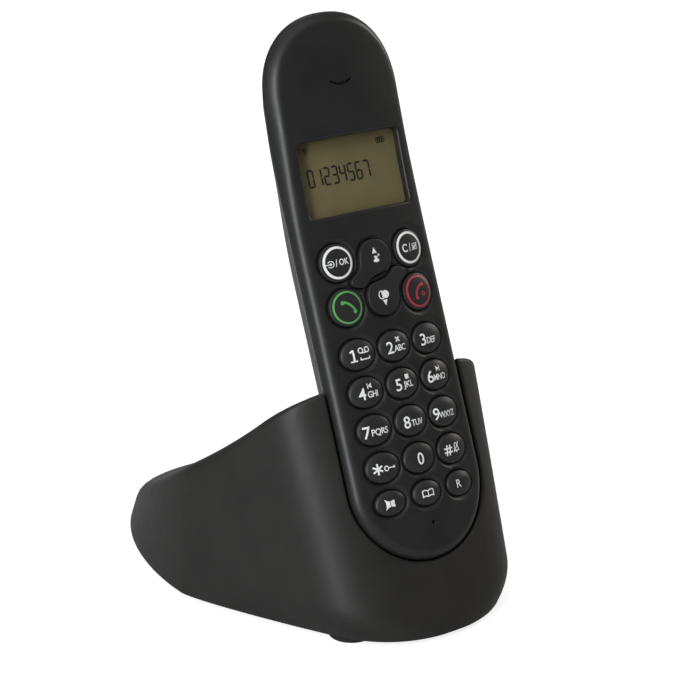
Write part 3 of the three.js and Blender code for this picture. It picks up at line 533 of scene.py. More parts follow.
def ridge(y):
    run = y - HORN_Y
    tail_fall = (np.maximum(run, 0) / TAIL_FALL_LENGTH) ** 3
    return HORN_HEIGHT - RIDGE_SLOPE * run + RIDGE_SAG * run * np.abs(run) - tail_fall


def ridge_slope(y):
    return ridge(y + 0.5) - ridge(y - 0.5)


# The outline at the horns' height: its widest place and its tail, by how far they lie from the horns.
HORN_SIDE = (1.0, 45.0)
HORN_TAIL = 76.0
FLANK_SPLAY = 1.17
# How far the handles of the outline's curves reach, as shares of the run between their ends.
FRONT_PULL, SIDE_PULL, REAR_PULL, TAIL_PULL = 0.41, 0.11, 0.38, 0.67


def half_outline(height):
    """The right half of the base's outline at a height, from nose to tail."""
    share = height / HORN_HEIGHT
    mix = lambda a, b: a + (b - a) * share
    tuck = min(max(1 - (height - FOOT_HEIGHT) / TUCK_HEIGHT, 0), 1) ** 2
    nose = NOSE_Y + height * FRONT_TAN
    corner_x = mix(CORNER_HALF_WIDTH, HORN_HALF_WIDTH) - NOSE_TUCK * tuck
    rounding = mix(CORNER_ROUNDING, HORN_ROUNDING) + TUCK_ROUNDING * tuck
    crown = lambda x: x * x / (2 * FRONT_CROWN)
    corner = np.array([corner_x, nose + crown(corner_x)])
    side = np.array([mix(BASE_HALF_WIDTH, HORN_HALF_WIDTH + HORN_SIDE[0]),
                     mix(WIDEST_Y, HORN_Y + HORN_SIDE[1])])
    tail = mix(TAIL_Y, HORN_Y + HORN_TAIL)
    flank = (side - corner) * (FLANK_SPLAY, 1)
    flank_start = corner + flank * rounding / np.linalg.norm(flank)
    front_end = np.array([corner_x - rounding, nose + crown(corner_x - rounding)])
    pull = flank_start - corner
    pull = flank_start + pull * (side[1] - flank_start[1]) * FRONT_PULL / np.linalg.norm(pull)
    low = side[1] + (flank_start[1] - side[1]) * SIDE_PULL
    rear_pull = side[1] + (tail - side[1]) * REAR_PULL
    return np.vstack([
        bezier([(0, nose), (front_end[0] / 2, nose), front_end], 40, last=False),
        bezier([front_end, corner, flank_start], 60, last=False),
        bezier([flank_start, pull, (side[0], low), side], 60, last=False),
        bezier([side, (side[0], rear_pull), (side[0] * TAIL_PULL, tail), (0, tail)], 90)])


BASE_MIDDLE = np.array([0.0, 45.0, 18.0])
LEVELS = np.linspace(FOOT_HEIGHT, HORN_HEIGHT + 6, 190)
TURNS = np.linspace(0, math.pi, 541)


def radius_table():
    rows = []
    for height in LEVELS:
        half = half_outline(height)
        turn = np.arctan2(half[:, 0], BASE_MIDDLE[1] - half[:, 1])
        reach = np.hypot(half[:, 0], half[:, 1] - BASE_MIDDLE[1])
        rows.append(np.interp(TURNS, turn, reach))
    return np.array(rows)


REACH = radius_table()
REACH_TURN = np.gradient(REACH, TURNS, axis=1)
REACH_LEVEL = np.gradient(REACH, LEVELS, axis=0)


def flank_distance(p):
    """Roughly the distance outside the base's flanks."""
    x, y, z = p[:, 0], p[:, 1] - BASE_MIDDLE[1], p[:, 2]
    reach = np.hypot(x, y)
    turn = np.arctan2(np.abs(x), -y)
    row, column = (z - LEVELS[0]) / (LEVELS[1] - LEVELS[0]), turn / TURNS[1]
    here = look_up(REACH, row, column)
    lean = look_up(REACH_TURN, row, column) / np.maximum(here, 1)
    rise = look_up(REACH_LEVEL, row, column)
    return (reach - here) / np.sqrt(1 + lean ** 2 + rise ** 2)


def top_distance(p):
    return (p[:, 2] - ridge(p[:, 1])) / np.sqrt(1 + ridge_slope(p[:, 1]) ** 2)


def crest_radius(p):
    """The rounding between flank and top: wide on the tail, narrower up to the horns."""
    height = ridge(p[:, 1])
    radius = CREST_RADIUS - CREST_NARROWS * height / HORN_HEIGHT
    return np.clip(np.minimum(radius, height * CREST_SHARE), LEAST_CREST, CREST_RADIUS)


def rounded(a, b, radius):
    """The outer of two distances, with their corner rounded."""
    u, v = a + radius, b + radius
    return np.hypot(np.maximum(u, 0), np.maximum(v, 0)) + np.minimum(np.maximum(u, v), 0) - radius


def base_outer(p):
    crest = rounded(flank_distance(p), top_distance(p), crest_radius(p))
    return rounded(crest, FOOT_HEIGHT - p[:, 2], BASE_EDGE)


CRADLE_CELL = 0.2
CRADLE_LOW = -60.0
CRADLE_HIGH = 120.0
CRADLE_OUT = 70.0


def back_curve(reach, depth, count):
    """Half of the section of the handset's back, from its flat middle to its widest place."""
    handles = [(HALF_WIDTH * share, -depth) for share in BACK_FLAT]
    return bezier([*handles, (reach, -BACK_SIDE), (reach, 0)], count)


def cradle_table():
    """Distance outside the cradle's section, over places out from its middle line and along w."""
    reach = HALF_WIDTH + CRADLE_GAP
    depth = THICKNESS - WIDEST + CRADLE_GAP
    right = np.vstack([back_curve(reach, depth, 160) - (0, WIDEST), [(reach, 200)]])
    section = np.vstack([right, right[::-1] * (-1, 1)])
    columns = np.arange(CRADLE_LOW, CRADLE_HIGH, CRADLE_CELL)
    across, along = np.meshgrid(np.arange(0, CRADLE_OUT, CRADLE_CELL), columns, indexing="ij")
    places = np.stack([across.ravel(), along.ravel()], 1)
    away = nearest(places, section)
    return np.where(inside(places, section), -away, away).reshape(across.shape)


CRADLE_TABLE = cradle_table()


def cradle_distance(p):
    """Distance outside the room that the docked handset takes, which is open upwards and forwards."""
    h = base_to_handset(p)
    centre = HALF_WIDTH + CRADLE_GAP - SEAT_GAP
    out = np.hypot(h[:, 0], np.minimum(h[:, 1] - centre, 0))
    return look_up(CRADLE_TABLE, out / CRADLE_CELL, (h[:, 2] - CRADLE_LOW) / CRADLE_CELL)


def slope_of(shape, p, step=0.02):
    out = np.empty_like(p)
    for k in range(3):
        move = np.zeros(3)
        move[k] = step
        out[:, k] = (shape(p + move) - shape(p - move)) / (2 * step)
    return out


def meet(p, first, a, second, b, passes=14):
    """Moves points to where the first distance is a and the second is b."""
    p = np.array(p, float)
    for _ in range(passes):
        ea, eb = first(p) - a, second(p) - b
        ga, gb = slope_of(first, p), slope_of(second, p)
        aa, bb, ab = (ga * ga).sum(1), (gb * gb).sum(1), (ga * gb).sum(1)
        det = aa * bb - ab * ab + 1e-6
        ka = (ea * bb - eb * ab) / det
        kb = (eb * aa - ea * ab) / det
        step = ka[:, None] * ga + kb[:, None] * gb
        size = np.linalg.norm(step, axis=1)[:, None]
        p -= step * np.minimum(1, 0.8 / np.maximum(size, 1e-9))
    return p


def cast(origin, directions, shape, reach=170.0):
    """Where rays from inside a shape leave it."""
    beyond = lambda way: shape(origin + directions * way[:, None]) > 0
    low, high = halve(np.zeros(len(directions)), np.full(len(directions), reach), beyond, 34)
    return origin + directions * ((low + high) / 2)[:, None]


class View:
    """Directions from a point, laid out on a plane: the angle from the axis is the distance out."""

    SCALE = 60

    def __init__(self, origin, axis):
        self.origin = np.asarray(origin, float)
        axis = unit(np.asarray(axis, float))
        across = np.array([1.0, 0.0, 0.0])
        self.turn = np.stack([across, np.cross(axis, across), axis])

    def flatten(self, points):
        d = unit(points - self.origin) @ self.turn.T
        out = np.hypot(d[:, 0], d[:, 1])
        angle = np.arccos(np.clip(d[:, 2], -1, 1)) * self.SCALE
        return d[:, :2] / np.maximum(out, 1e-9)[:, None] * angle[:, None]

    def lift(self, places, surface):
        """The points of a surface that lie in the directions of some places."""
        size = np.linalg.norm(places, axis=1)
        angle = size / self.SCALE
        across = places / np.maximum(size, 1e-9)[:, None] * np.sin(angle)[:, None]
        return cast(self.origin, np.c_[across, np.cos(angle)] @ self.turn, surface)


def mouth_loop(count):
    """The edge where the cradle cuts the base's outer form."""
    view = View(BASE_MIDDLE, (0, -0.37, 0.93))
    ways = ellipse((0, 0), 1, 900)
    steps = np.linspace(2, 110, 60)
    outside = lambda reach: cradle_distance(view.lift(ways * reach[:, None], base_outer)) > 0
    hit = np.full(len(ways), steps[-1])
    for step in steps[::-1]:
        hit = np.where(outside(np.full(len(ways), step)), step, hit)
    _, high = halve(hit - (steps[1] - steps[0]), hit, outside, 22)
    return resample(view.lift(ways * high[:, None], base_outer), count=count)


# ---- Base shell ----

def crest_points(spacing=0.9, rows=5):
    """Points over the rounded crest between the flanks and the sloping top."""
    loop = resample(whole(np.array([half_rim(share) for share in np.linspace(0, 1, 400)])), spacing=spacing)
    radius = crest_radius(loop)
    out = []
    for turn in np.linspace(0, math.pi / 2, rows):
        a = -radius * (1 - math.cos(turn))
        b = -radius * (1 - math.sin(turn))
        out.append(meet(loop, flank_distance, a, top_distance, b))
    return np.vstack(out)


def half_rim(share):
    """A place on the right half of the line where the flanks meet the sloping top, nose to tail."""
    height = HORN_HEIGHT / 2
    for _ in range(30):
        half = half_outline(height)
        place = half[min(int(share * (len(half) - 1) + 0.5), len(half) - 1)]
        height = height * 0.4 + 0.6 * float(np.clip(ridge(place[1]), FOOT_HEIGHT, HORN_HEIGHT + 5))
    return np.array([place[0], place[1], height])


def bottom_loops():
    """Loops round the base's lower edge, down to its bottom."""
    height = FOOT_HEIGHT + BASE_EDGE
    loop = level(resample(whole(half_outline(height)), count=360), height)
    above_floor = lambda p: FOOT_HEIGHT - p[:, 2]
    return [meet(loop, flank_distance, -BASE_EDGE * (1 - math.cos(turn)),
                 above_floor, -BASE_EDGE * (1 - math.sin(turn))) for turn in np.linspace(0, math.pi / 2, 4)]


def lip(mouth, radius=0.8):
    """Loops over the rounded lip of the cradle, from the outer form into the pocket."""
    out = [meet(mouth, base_outer, 0, cradle_distance, reach) for reach in (3.2, 2.1, 1.4)]
    for turn in np.linspace(math.pi / 2, 0, 5):
        a, b = -radius * (1 - math.sin(turn)), radius * (1 - math.cos(turn))
        out.append(meet(mouth, base_outer, a, cradle_distance, b))
    return out


def skin(shape, surface, view, limits, extra, spacing):
    """A surface seen from a point inside it, between closed loops given in space. The first limit
    runs round the outside in the view and the others are holes."""
    flat_limits = [view.flatten(loop) for loop in limits]
    outer = flat_limits[0]

    def within(places):
        keep = inside(places, outer)
        for loop in flat_limits[1:]:
            keep &= ~inside(places, loop)
        return places[keep]

    spots = within(grid(outer.min(0), outer.max(0), spacing))
    if len(extra):
        marks = within(view.flatten(extra))
        for loop in flat_limits:
            marks = marks[nearest(marks, loop) > spacing * 0.3]
        spots = np.vstack([spots[apart(spots, marks, spacing * 0.55)], marks])
    for loop in flat_limits:
        spots = spots[nearest(spots, loop) > spacing * 0.4]
    shape.sheet(spots, limits, flat_limits, flat_limits[1:], lambda flat: view.lift(flat, surface))


BASE_SCREWS = ((-25.0, 47.0), (25.0, 47.0), (-26.0, 103.0), (26.0, 103.0))
POST_RADIUS = 3.0
COVER_BOTTOM = FOOT_HEIGHT + 0.2
COVER_TOP = FOOT_HEIGHT + 2.6
BASE_SCREW_SEAT = COVER_BOTTOM + 1.4
BASE_SCREW_TIP = COVER_TOP + 8
CONTACT = (7.0, 6.9, 11.5)
PIN_GUIDE = 8.2
PIN_BOSS = 3.0
PIN_BORE = 1.3
THREAD_BORE = 1.3


def along_handset(x, w):
    """Places a solid turned about a line along the handset."""
    return lambda q: np.stack([q[:, 0] + x, q[:, 2], q[:, 1] + w], 1)


def hollow_distance(p):
    """The hollow under the base shell: inside its walls and clear of the cradle's lining."""
    out = np.maximum(flank_distance(p) + BASE_WALL, top_distance(p) + BASE_WALL * 1.15)
    out = np.maximum(out, BASE_WALL - cradle_distance(p))
    return np.maximum(out, -1.0 - p[:, 2])


def first_exit(origin, directions, shape, reach=120.0, steps=90):
    """How far rays from a point go before they first leave a shape."""
    low = np.zeros(len(directions))
    open_yet = np.ones(len(directions), bool)
    for step in np.linspace(0, reach, steps)[1:]:
        open_yet &= shape(origin + directions * step) < 0
        low = np.where(open_yet, step, low)
    beyond = lambda way: shape(origin + directions * way[:, None]) > 0
    return halve(low, low + reach / (steps - 1), beyond, 16)[0]


def base_hollow():
    work = bmesh.new()
    bmesh.ops.create_icosphere(work, subdivisions=6, radius=1.0)
    ways = unit(np.array([v.co for v in work.verts]))
    reach = first_exit(BASE_MIDDLE, ways, hollow_distance)
    faces = [[v.index for v in f.verts] for f in work.faces]
    work.free()
    shape = Shape()
    shape.add(BASE_MIDDLE + ways * reach[:, None], faces)
    return shape.build("hollow", base_to_row, FINE_WELD)


def along_pins(side):
    """Places a solid turned about a charge pin's axis, its heights along the handset."""
    place = along_handset(side * CONTACT[0], -CONTACT[2])
    return lambda q: handset_to_base(place(q))


def on_slope(q):
    """Places a solid that stands on the sloping top, at the locate button."""
    turn = math.atan(float(ridge_slope(LOCATE_Y)))
    sin, cos = math.sin(turn), math.cos(turn)
    y, z = q[:, 1] * cos - q[:, 2] * sin, q[:, 1] * sin + q[:, 2] * cos
    return np.stack([q[:, 0], y + LOCATE_Y, z + float(ridge(np.array(LOCATE_Y)))], 1)


def base_shell():
    mouth = mouth_loop(420)
    loops = lip(mouth)
    bottom = bottom_loops()
    shape = Shape()
    skin(shape, base_outer, View(BASE_MIDDLE, (0, 0, 1)), [bottom[0], loops[0]], crest_points(), 2.5)
    shape.strip(bottom)
    shape.cap(bottom[-1])
    shape.strip(loops)
    pocket = View(handset_to_base(np.array([0.0, 26.0, -9.0])), (0, 0.63, -0.78))
    skin(shape, cradle_distance, pocket, [loops[-1]], [], 2.6)
    shell = shape.build("base_shell_moulding", base_to_row)
    hollow = base_hollow()
    solids, bores = Shape(), Shape()
    for side in (-1, 1):
        boss = CONTACT[1] - PIN_GUIDE
        solids.lathe([(PIN_BOSS, boss), (PIN_BOSS, 7)], 40, along_pins(side))
        bores.lathe([(PIN_BORE, -20), (PIN_BORE, 20)], 32, along_pins(side))
    for x, y in BASE_SCREWS:
        solids.lathe([(POST_RADIUS, COVER_TOP + 0.3), (POST_RADIUS, 80)], 40, upright(x, y))
        bores.lathe([(THREAD_BORE, -5), (THREAD_BORE, BASE_SCREW_TIP + 1)], 24, upright(x, y))
    radius, flare = LOCATE_RADIUS + SEAM, 0.4
    curve = arc((radius + flare, -flare), flare, 180, 90, 5)
    bores.lathe([(radius, -8), *curve, (radius + flare, 4)], 72, on_slope)
    cut(hollow, solids.build("posts", base_to_row, FINE_WELD))
    cut(shell, hollow)
    cut(shell, bores.build("bores", base_to_row, FINE_WELD))
    return shell


# ---- The handset's form ----

TOP_RISE = 2.0
SIDE_DRAFT = 1.5
TOP_SHARPER = 1.0
FULLER = (90.0, 145.0)


def front_bend(v):
    return TOP_BEND * smoothstep(v, *BEND)


def edge_share(v):
    return 1 - (1 - TOP_EDGE_SHARE) * smoothstep(v, *EDGE_THINS)


def fullness(v):
    """From 0 to 1 where the front stands fuller towards the top."""
    return smoothstep(v, *FULLER)


def front_height(x, v):
    """w of the crowned front."""
    return front_bend(v) + TOP_RISE * fullness(v) - x * x / (2 * CROWN_RADIUS)


def widest_depth(v):
    return EDGE * edge_share(v) + HALF_WIDTH ** 2 / (2 * CROWN_RADIUS) - front_bend(v)


def depth_share(v):
    return 1 - (1 - TOP_SHARE) * smoothstep(v, *TAPER)


ARC_POINTS = 60
SIDE_POINTS = 56


def stadium(inset, top=LENGTH):
    """The handset's outline, drawn in by inset: a round bottom end and a blunt top end."""
    radius = HALF_WIDTH - inset
    turn = np.linspace(0, math.pi, ARC_POINTS + 1)
    blunt = lambda value: np.sign(value) * np.abs(value) ** (2 / END_FULLNESS)
    spread = turn - 0.16 * np.sin(4 * turn)
    centre = top - END_LENGTH
    rise = (END_LENGTH - inset) * blunt(np.sin(spread))
    upper = np.stack([radius * blunt(np.cos(spread)), centre + rise], 1)
    lower = np.stack([-radius * np.cos(turn), HALF_WIDTH - radius * np.sin(turn)], 1)
    sides = np.linspace(centre, HALF_WIDTH, SIDE_POINTS + 2)[1:-1]
    left = np.stack([np.full(SIDE_POINTS, -radius), sides], 1)
    return np.vstack([upper, left, lower, (left * (-1, 1))[::-1]])


BACK_DEPTH = THICKNESS - WIDEST
BACK_SECTION = back_curve(HALF_WIDTH, BACK_DEPTH, 72)[::-1]


def back_ring(place):
    """The outline at a (half width, depth) of the back's section, as (x, v, w)."""
    flat = stadium(HALF_WIDTH - place[0], LENGTH + place[1] * TOP_BACK_SLOPE * TOP_SHARE)
    return np.c_[flat, place[1] * depth_share(flat[:, 1]) - widest_depth(flat[:, 1])]


BACK_RINGS = np.array([back_ring(place) for place in BACK_SECTION])


def ring_at(rings, height):
    """The loop round a stack of rings at a height w."""
    return np.array([[np.interp(-height, -line[:, 2], line[:, k]) for k in range(3)]
                     for line in rings.transpose(1, 0, 2)])


def back_height(places):
    """w of the handset's back over places (x, v)."""
    x, v = np.abs(places[:, 0]), places[:, 1]
    low = np.where(v < HALF_WIDTH, np.hypot(x, v - HALF_WIDTH), x)
    depth = np.interp(low, BACK_SECTION[::-1, 0], BACK_SECTION[::-1, 1])
    return depth * depth_share(v) - widest_depth(v)


# ---- Outlines of keys and openings ----

LOBE = (5.4, 5.3)


def comma(grow, upside_down, count=120):
    """The curved key: a round lobe, and a tail that sweeps out between two ring keys."""
    centre, radius = LOBE
    loop = np.vstack([
        arc((0, centre), radius, -48, 180, 30),
        bezier([(-radius, centre - 0.3), (-5.5, 2.9), (-6.6, 2.2), (-8.4, 1.35)], 12),
        bezier([(-8.8, 1.1), (-9.9, 0.7), (-9.9, -0.8), (-8.8, -1.15)], 10),
        bezier([(-8.4, -1.3), (-7.2, -1.8), (-6.2, -2.3), (-5.2, -2.0)], 8),
        arc((0, -centre), radius + 0.95, 142, 98, 30)])
    loop = resample(loop, count=count)
    for _ in range(7):
        loop = (np.roll(loop, 1, axis=0) + 2 * loop + np.roll(loop, -1, axis=0)) / 4
    return offset_loop(loop, grow) * (-1 if upside_down else 1) + (0, CLUSTER)


NUMBER_ROWS = [("star", "0", "hash"), ("7", "8", "9"), ("4", "5", "6"), ("1", "2", "3")]


def key_list():
    """name: (kind, centre, half sizes, or for a curved key whether it is upside down)."""
    keys = {}
    for row, names in enumerate(NUMBER_ROWS):
        for column, name in enumerate(names):
            keys[name] = ("oval", ((column - 1) * COLUMN_PITCH, FIRST_ROW + row * ROW_PITCH), KEY)
    for column, name in enumerate(("loudspeaker", "phonebook", "recall")):
        keys[name] = ("oval", ((column - 1) * COLUMN_PITCH, SMALL_ROW), SMALL_KEY)
    for name, side, row in (("ok", -1, 1), ("clear", 1, 1), ("talk", -1, -1), ("end", 1, -1)):
        keys[name] = ("ring", (side * RING_COLUMN, CLUSTER + row * RING_ROW), (RING_RADIUS, RING_RADIUS))
    keys["up"] = ("comma", (0, CLUSTER + LOBE[0]), False)
    keys["down"] = ("comma", (0, CLUSTER - LOBE[0]), True)
    return keys


KEYS = key_list()


def key_outline(name, grow=0.0):
    kind, centre, form = KEYS[name]
    if kind == "comma":
        return comma(grow, form)
    return ellipse(centre, (form[0] + grow, form[1] + grow))


# ---- Front cover ----

DISH_DEPTH = 0.65
DISH_REACH = 1.15
KEY_RIM = 0.25
COMMA_RIM = 0.1
DISPLAY_RIM = 0.7


def dish_depth(places):
    """How far the front sinks in the soft recess round the keys."""
    depth = np.zeros(len(places))
    for name in KEYS:
        loop = KEY_OPENINGS[name]
        near = beside(places, loop, DISH_REACH)
        if near.any():
            here = nearest(places[near], loop)
            here[inside(places[near], loop)] = 0
            depth[near] = np.maximum(depth[near], DISH_DEPTH * (1 - smoothstep(here, 0, DISH_REACH)))
    return depth


KEY_OPENINGS = {name: key_outline(name, KEY_GAP) for name in KEYS}
EARPIECE_HALF = 3.7


def smile():
    """The curved slot over the receiver."""
    half = EARPIECE_HALF
    low = bezier([(-half, 1.15), (0, -1.35), (half, 1.15)], 20, last=False)
    tip = bezier([(half, 1.15), (half + 0.1, 1.55), (half - 0.5, 1.6)], 4, last=False)
    high = bezier([(half - 0.5, 1.6), (0, -0.1), (-half + 0.5, 1.6)], 18, last=False)
    other = bezier([(-half + 0.5, 1.6), (-half - 0.1, 1.55), (-half, 1.15)], 4, last=False)
    return np.vstack([low, tip, high, other]) + (0, EARPIECE)


def opening_list():
    """(outline, rim rounding) for every opening in the front."""
    out = [(KEY_OPENINGS[name], COMMA_RIM if KEYS[name][0] == "comma" else KEY_RIM) for name in KEYS]
    out.append((rounded_box(DISPLAY[:2], DISPLAY[2:], 1.3, spacing=0.9), DISPLAY_RIM))
    out.append((smile(), 0.15))
    out.append((ellipse((0, MIC), (0.6, 0.6), 20), 0.15))
    return out


COVER_WALL = 1.8
WALL_BOTTOM = 2.3


def front_surface(places):
    return np.c_[places, front_height(places[:, 0], places[:, 1]) - dish_depth(places)]


def inner_surface(places):
    return np.c_[places, front_height(places[:, 0], places[:, 1]) - WALL_BOTTOM]


def front_rings():
    """Loops up the cover's rounded side, fuller and steeper towards the top end."""
    outline, inward = stadium(0), stadium(1) - stadium(0)
    full = fullness(outline[:, 1])
    depth = EDGE * edge_share(outline[:, 1]) + TOP_RISE * full
    rings = []
    for turn in np.linspace(0, math.pi / 2, 9):
        inset = SIDE_DRAFT * full * math.sin(turn) + (EDGE - TOP_SHARPER * full) * (1 - math.cos(turn))
        flat = outline + inset[:, None] * inward
        rings.append(np.c_[flat, front_height(flat[:, 0], flat[:, 1]) - depth * (1 - math.sin(turn))])
    return rings


def front_cover():
    openings = opening_list()
    rims = [offset_loop(loop, rim) for loop, rim in openings]
    keys, others = openings[:len(KEYS)], openings[len(KEYS):]
    marks = [offset_loop(loop, rim + reach) for loop, rim in keys for reach in (0.28, 0.56, 0.9)]
    marks += [offset_loop(loop, rim + 0.5) for loop, rim in others]
    parting, upper, side = (ring_at(BACK_RINGS, rise - PARTING) for rise in (0, 0.25, 0.9))
    seam = drawn_in(parting, 0.25)
    rings = front_rings()
    shape = Shape()
    shape.strip([seam, upper, side, *rings])
    cover_sheet(shape, rings[-1][:, :2], rims, marks, 1.5, front_surface)
    for loop, rim in openings:
        bore_loops(shape, loop, rim)
    back_edge = stadium(EDGE + 1.2)
    cover_sheet(shape, back_edge, [loop for loop, _ in openings], [], 4.0, inner_surface)
    shape.strip([inner_surface(back_edge), drawn_in(parting, COVER_WALL), seam])
    return shape.build("front_moulding", handset_to_row)


def bore_loops(shape, loop, rim):
    """The rounded rim of an opening and its wall down to the cover's inside."""
    edge = front_surface(offset_loop(loop, rim))
    out = [edge]
    for turn in np.linspace(math.pi / 2, 0, 4)[1:]:
        flat = offset_loop(loop, rim * (1 - math.cos(turn)))
        out.append(np.c_[flat, edge[:, 2] - rim * (1 - math.sin(turn))])
    shape.strip([*out, inner_surface(loop)])


def cover_sheet(shape, edge, rims, marks, spacing, surface):
    """A sheet over the handset's outline with openings."""
    spots = spots_in(edge, spacing, spacing * 0.5)
    if marks:
        extra = np.vstack(marks)
        extra = extra[inside(extra, edge)]
        extra = thin(extra[clear_of(extra, rims, 0.16)], 0.2)
        spots = np.vstack([spots[apart(spots, extra, spacing * 0.5)], extra])
    spots = spots[clear_of(spots, rims, 0.12)]
    loops = [edge, *rims]
    shape.sheet(spots, [surface(loop) for loop in loops], loops, rims, surface)


# ---- Materials ----

def nodes_of(name):
    material = bpy.data.materials.new(name)
    material.use_nodes = True
    tree = material.node_tree
    return material, tree, tree.nodes["Principled BSDF"]


def coordinates(tree, scale):
    """Object coordinates in mm, stretched by scale."""
    place = tree.nodes.new("ShaderNodeTexCoord")
    mapping = tree.nodes.new("ShaderNodeMapping")
    mapping.inputs["Scale"].default_value = [1000 * s for s in scale]
    tree.links.new(place.outputs["Object"], mapping.inputs["Vector"])
    return mapping.outputs["Vector"]


def noise(tree, size, detail=2.0, scale=(1, 1, 1)):
    """Noise with features of a size in mm."""
    node = tree.nodes.new("ShaderNodeTexNoise")
    node.inputs["Scale"].default_value = 1 / size
    node.inputs["Detail"].default_value = detail
    tree.links.new(coordinates(tree, scale), node.inputs["Vector"])
    return node.outputs["Fac"]


def bumps(tree, shader, fac, height):
    """Raises the surface by height in mm where fac is 1."""
    node = tree.nodes.new("ShaderNodeBump")
    node.inputs["Distance"].default_value = height / 1000
    node.inputs["Strength"].default_value = 1.0
    tree.links.new(fac, node.inputs["Height"])
    tree.links.new(node.outputs["Normal"], shader.inputs["Normal"])


def ramp(tree, fac, stops):
    node = tree.nodes.new("ShaderNodeValToRGB")
    while len(node.color_ramp.elements) < len(stops):
        node.color_ramp.elements.new(0.5)
    for element, (place, colour) in zip(node.color_ramp.elements, stops):
        element.position = place
        element.color = (*colour, 1)
    tree.links.new(fac, node.inputs["Fac"])
    return node.outputs["Color"]


def shade(colour, by):
    return tuple(c * by for c in colour)


def grey(tree, fac, low, high):
    """Spreads fac over a range of values."""
    node = tree.nodes.new("ShaderNodeMapRange")
    node.inputs["To Min"].default_value = low
    node.inputs["To Max"].default_value = high
    tree.links.new(fac, node.inputs["Value"])
    return node.outputs["Result"]


def tint(tree, shader, fac, colour, dark=0.9, light=1.1, stops=(0.3, 0.7)):
    """Drifts the base colour between a darker and a lighter share of it."""
    shades = [(stops[0], shade(colour, dark)), (stops[1], shade(colour, light))]
    tree.links.new(ramp(tree, fac, shades), shader.inputs["Base Color"])


def gloss(tree, shader, fac, low, high):
    tree.links.new(grey(tree, fac, low, high), shader.inputs["Roughness"])


def moulded(name, colour, roughness, texture=0.16, height=0.010, specular=0.3):
    """A moulded plastic: a fine spark-eroded texture, and slight drifts of shade and gloss."""
    material, tree, shader = nodes_of(name)
    tint(tree, shader, noise(tree, 9.0, 3.0), colour)
    gloss(tree, shader, noise(tree, 3.0, 4.0), roughness - 0.06, roughness + 0.06)
    shader.inputs["Specular IOR Level"].default_value = specular
    bumps(tree, shader, noise(tree, texture, 1.0), height)
    return material


def metal(name, colour, roughness, grain=(1, 1, 1)):
    """Metal with a grain, stretched where it was drawn or brushed."""
    material, tree, shader = nodes_of(name)
    shader.inputs["Metallic"].default_value = 1.0
    lines = noise(tree, 0.25, 3.0, grain)
    tint(tree, shader, lines, colour, 0.86, 1)
    gloss(tree, shader, lines, roughness - 0.06, roughness + 0.1)
    bumps(tree, shader, lines, 0.002)
    return material


def painted(name, colour, roughness=0.45):
    """Ink printed on a moulding, thinner here and there."""
    material, tree, shader = nodes_of(name)
    tint(tree, shader, noise(tree, 0.5, 2.0), colour, 0.86, 1, (0.25, 0.6))
    shader.inputs["Roughness"].default_value = roughness
    bumps(tree, shader, noise(tree, 0.12, 1.0), 0.004)
    return material


def clear_window():
    material, tree, shader = nodes_of("clear_acrylic")
    shader.inputs["Base Color"].default_value = (0.02, 0.02, 0.02, 1)
    shader.inputs["Alpha"].default_value = 0.12
    gloss(tree, shader, noise(tree, 4.0, 2.0), 0.02, 0.08)
    return material


def liquid_crystal():
    """The olive panel: a fine reflector grain with a slow drift of tone."""
    material, tree, shader = nodes_of("lcd_panel")
    tint(tree, shader, noise(tree, 7.0, 1.0), (0.235, 0.2, 0.094), 0.96, 1.04)
    shader.inputs["Roughness"].default_value = 0.45
    shader.inputs["Specular IOR Level"].default_value = 0.15
    bumps(tree, shader, noise(tree, 0.1, 1.0), 0.002)
    return material


def solder_mask():
    """Green lacquer, paler where it covers a track."""
    material, tree, shader = nodes_of("solder_mask")
    tracks = tree.nodes.new("ShaderNodeTexVoronoi")
    tracks.inputs["Scale"].default_value = 0.45
    tracks.distance = "MANHATTAN"
    tree.links.new(coordinates(tree, (1, 1, 1)), tracks.inputs["Vector"])
    greens = [(0.3, (0.02, 0.09, 0.035)), (0.36, (0.035, 0.16, 0.06))]
    tree.links.new(ramp(tree, tracks.outputs["Distance"], greens), shader.inputs["Base Color"])
    shader.inputs["Roughness"].default_value = 0.32
    bumps(tree, shader, tracks.outputs["Distance"], 0.02)
    return material


def sleeve():
    """The cell's printed shrink sleeve, slightly wrinkled."""
    material, tree, shader = nodes_of("cell_sleeve")
    tint(tree, shader, noise(tree, 6.0, 2.0), (0.03, 0.2, 0.08), 0.85, 1.15)
    shader.inputs["Roughness"].default_value = 0.28
    bumps(tree, shader, noise(tree, 1.6, 3.0, (1, 0.3, 0.3)), 0.05)
    return material


CASE = moulded("case_plastic", (0.0176, 0.0172, 0.0168), 0.37)
BASE_CASE = moulded("base_plastic", (0.0190, 0.0178, 0.0166), 0.48)
UNDERSIDE = moulded("underside_plastic", (0.0150, 0.0148, 0.0145), 0.6, 0.3, 0.02)
KEYS_PLASTIC = moulded("key_plastic", (0.021, 0.0205, 0.0202), 0.42, 0.1, 0.004)
HOLDER = moulded("cream_moulding", (0.62, 0.58, 0.48), 0.5)
MEMBRANE = moulded("silicone", (0.05, 0.05, 0.05), 0.62, 0.2)
FOOT_RUBBER = moulded("foot_rubber", (0.016, 0.016, 0.016), 0.78, 0.2, 0.03)
FELT = moulded("receiver_felt", (0.012, 0.011, 0.010), 0.9, 0.12, 0.06, 0.1)
STEEL = metal("spring_steel", (0.55, 0.56, 0.58), 0.28, (1, 0.12, 1))
SCREW_STEEL = metal("zinc_plate", (0.5, 0.51, 0.53), 0.36)
GOLD = metal("gold_plate", (0.78, 0.56, 0.25), 0.26, (0.2, 1, 1))
WHITE_INK = painted("white_ink", (0.86, 0.86, 0.85))
GREEN_INK = painted("green_ink", (0.10, 0.38, 0.09))
RED_INK = painted("red_ink", (0.44, 0.035, 0.045))
SEGMENT_INK = painted("lcd_segment", (0.012, 0.011, 0.008), 0.3)
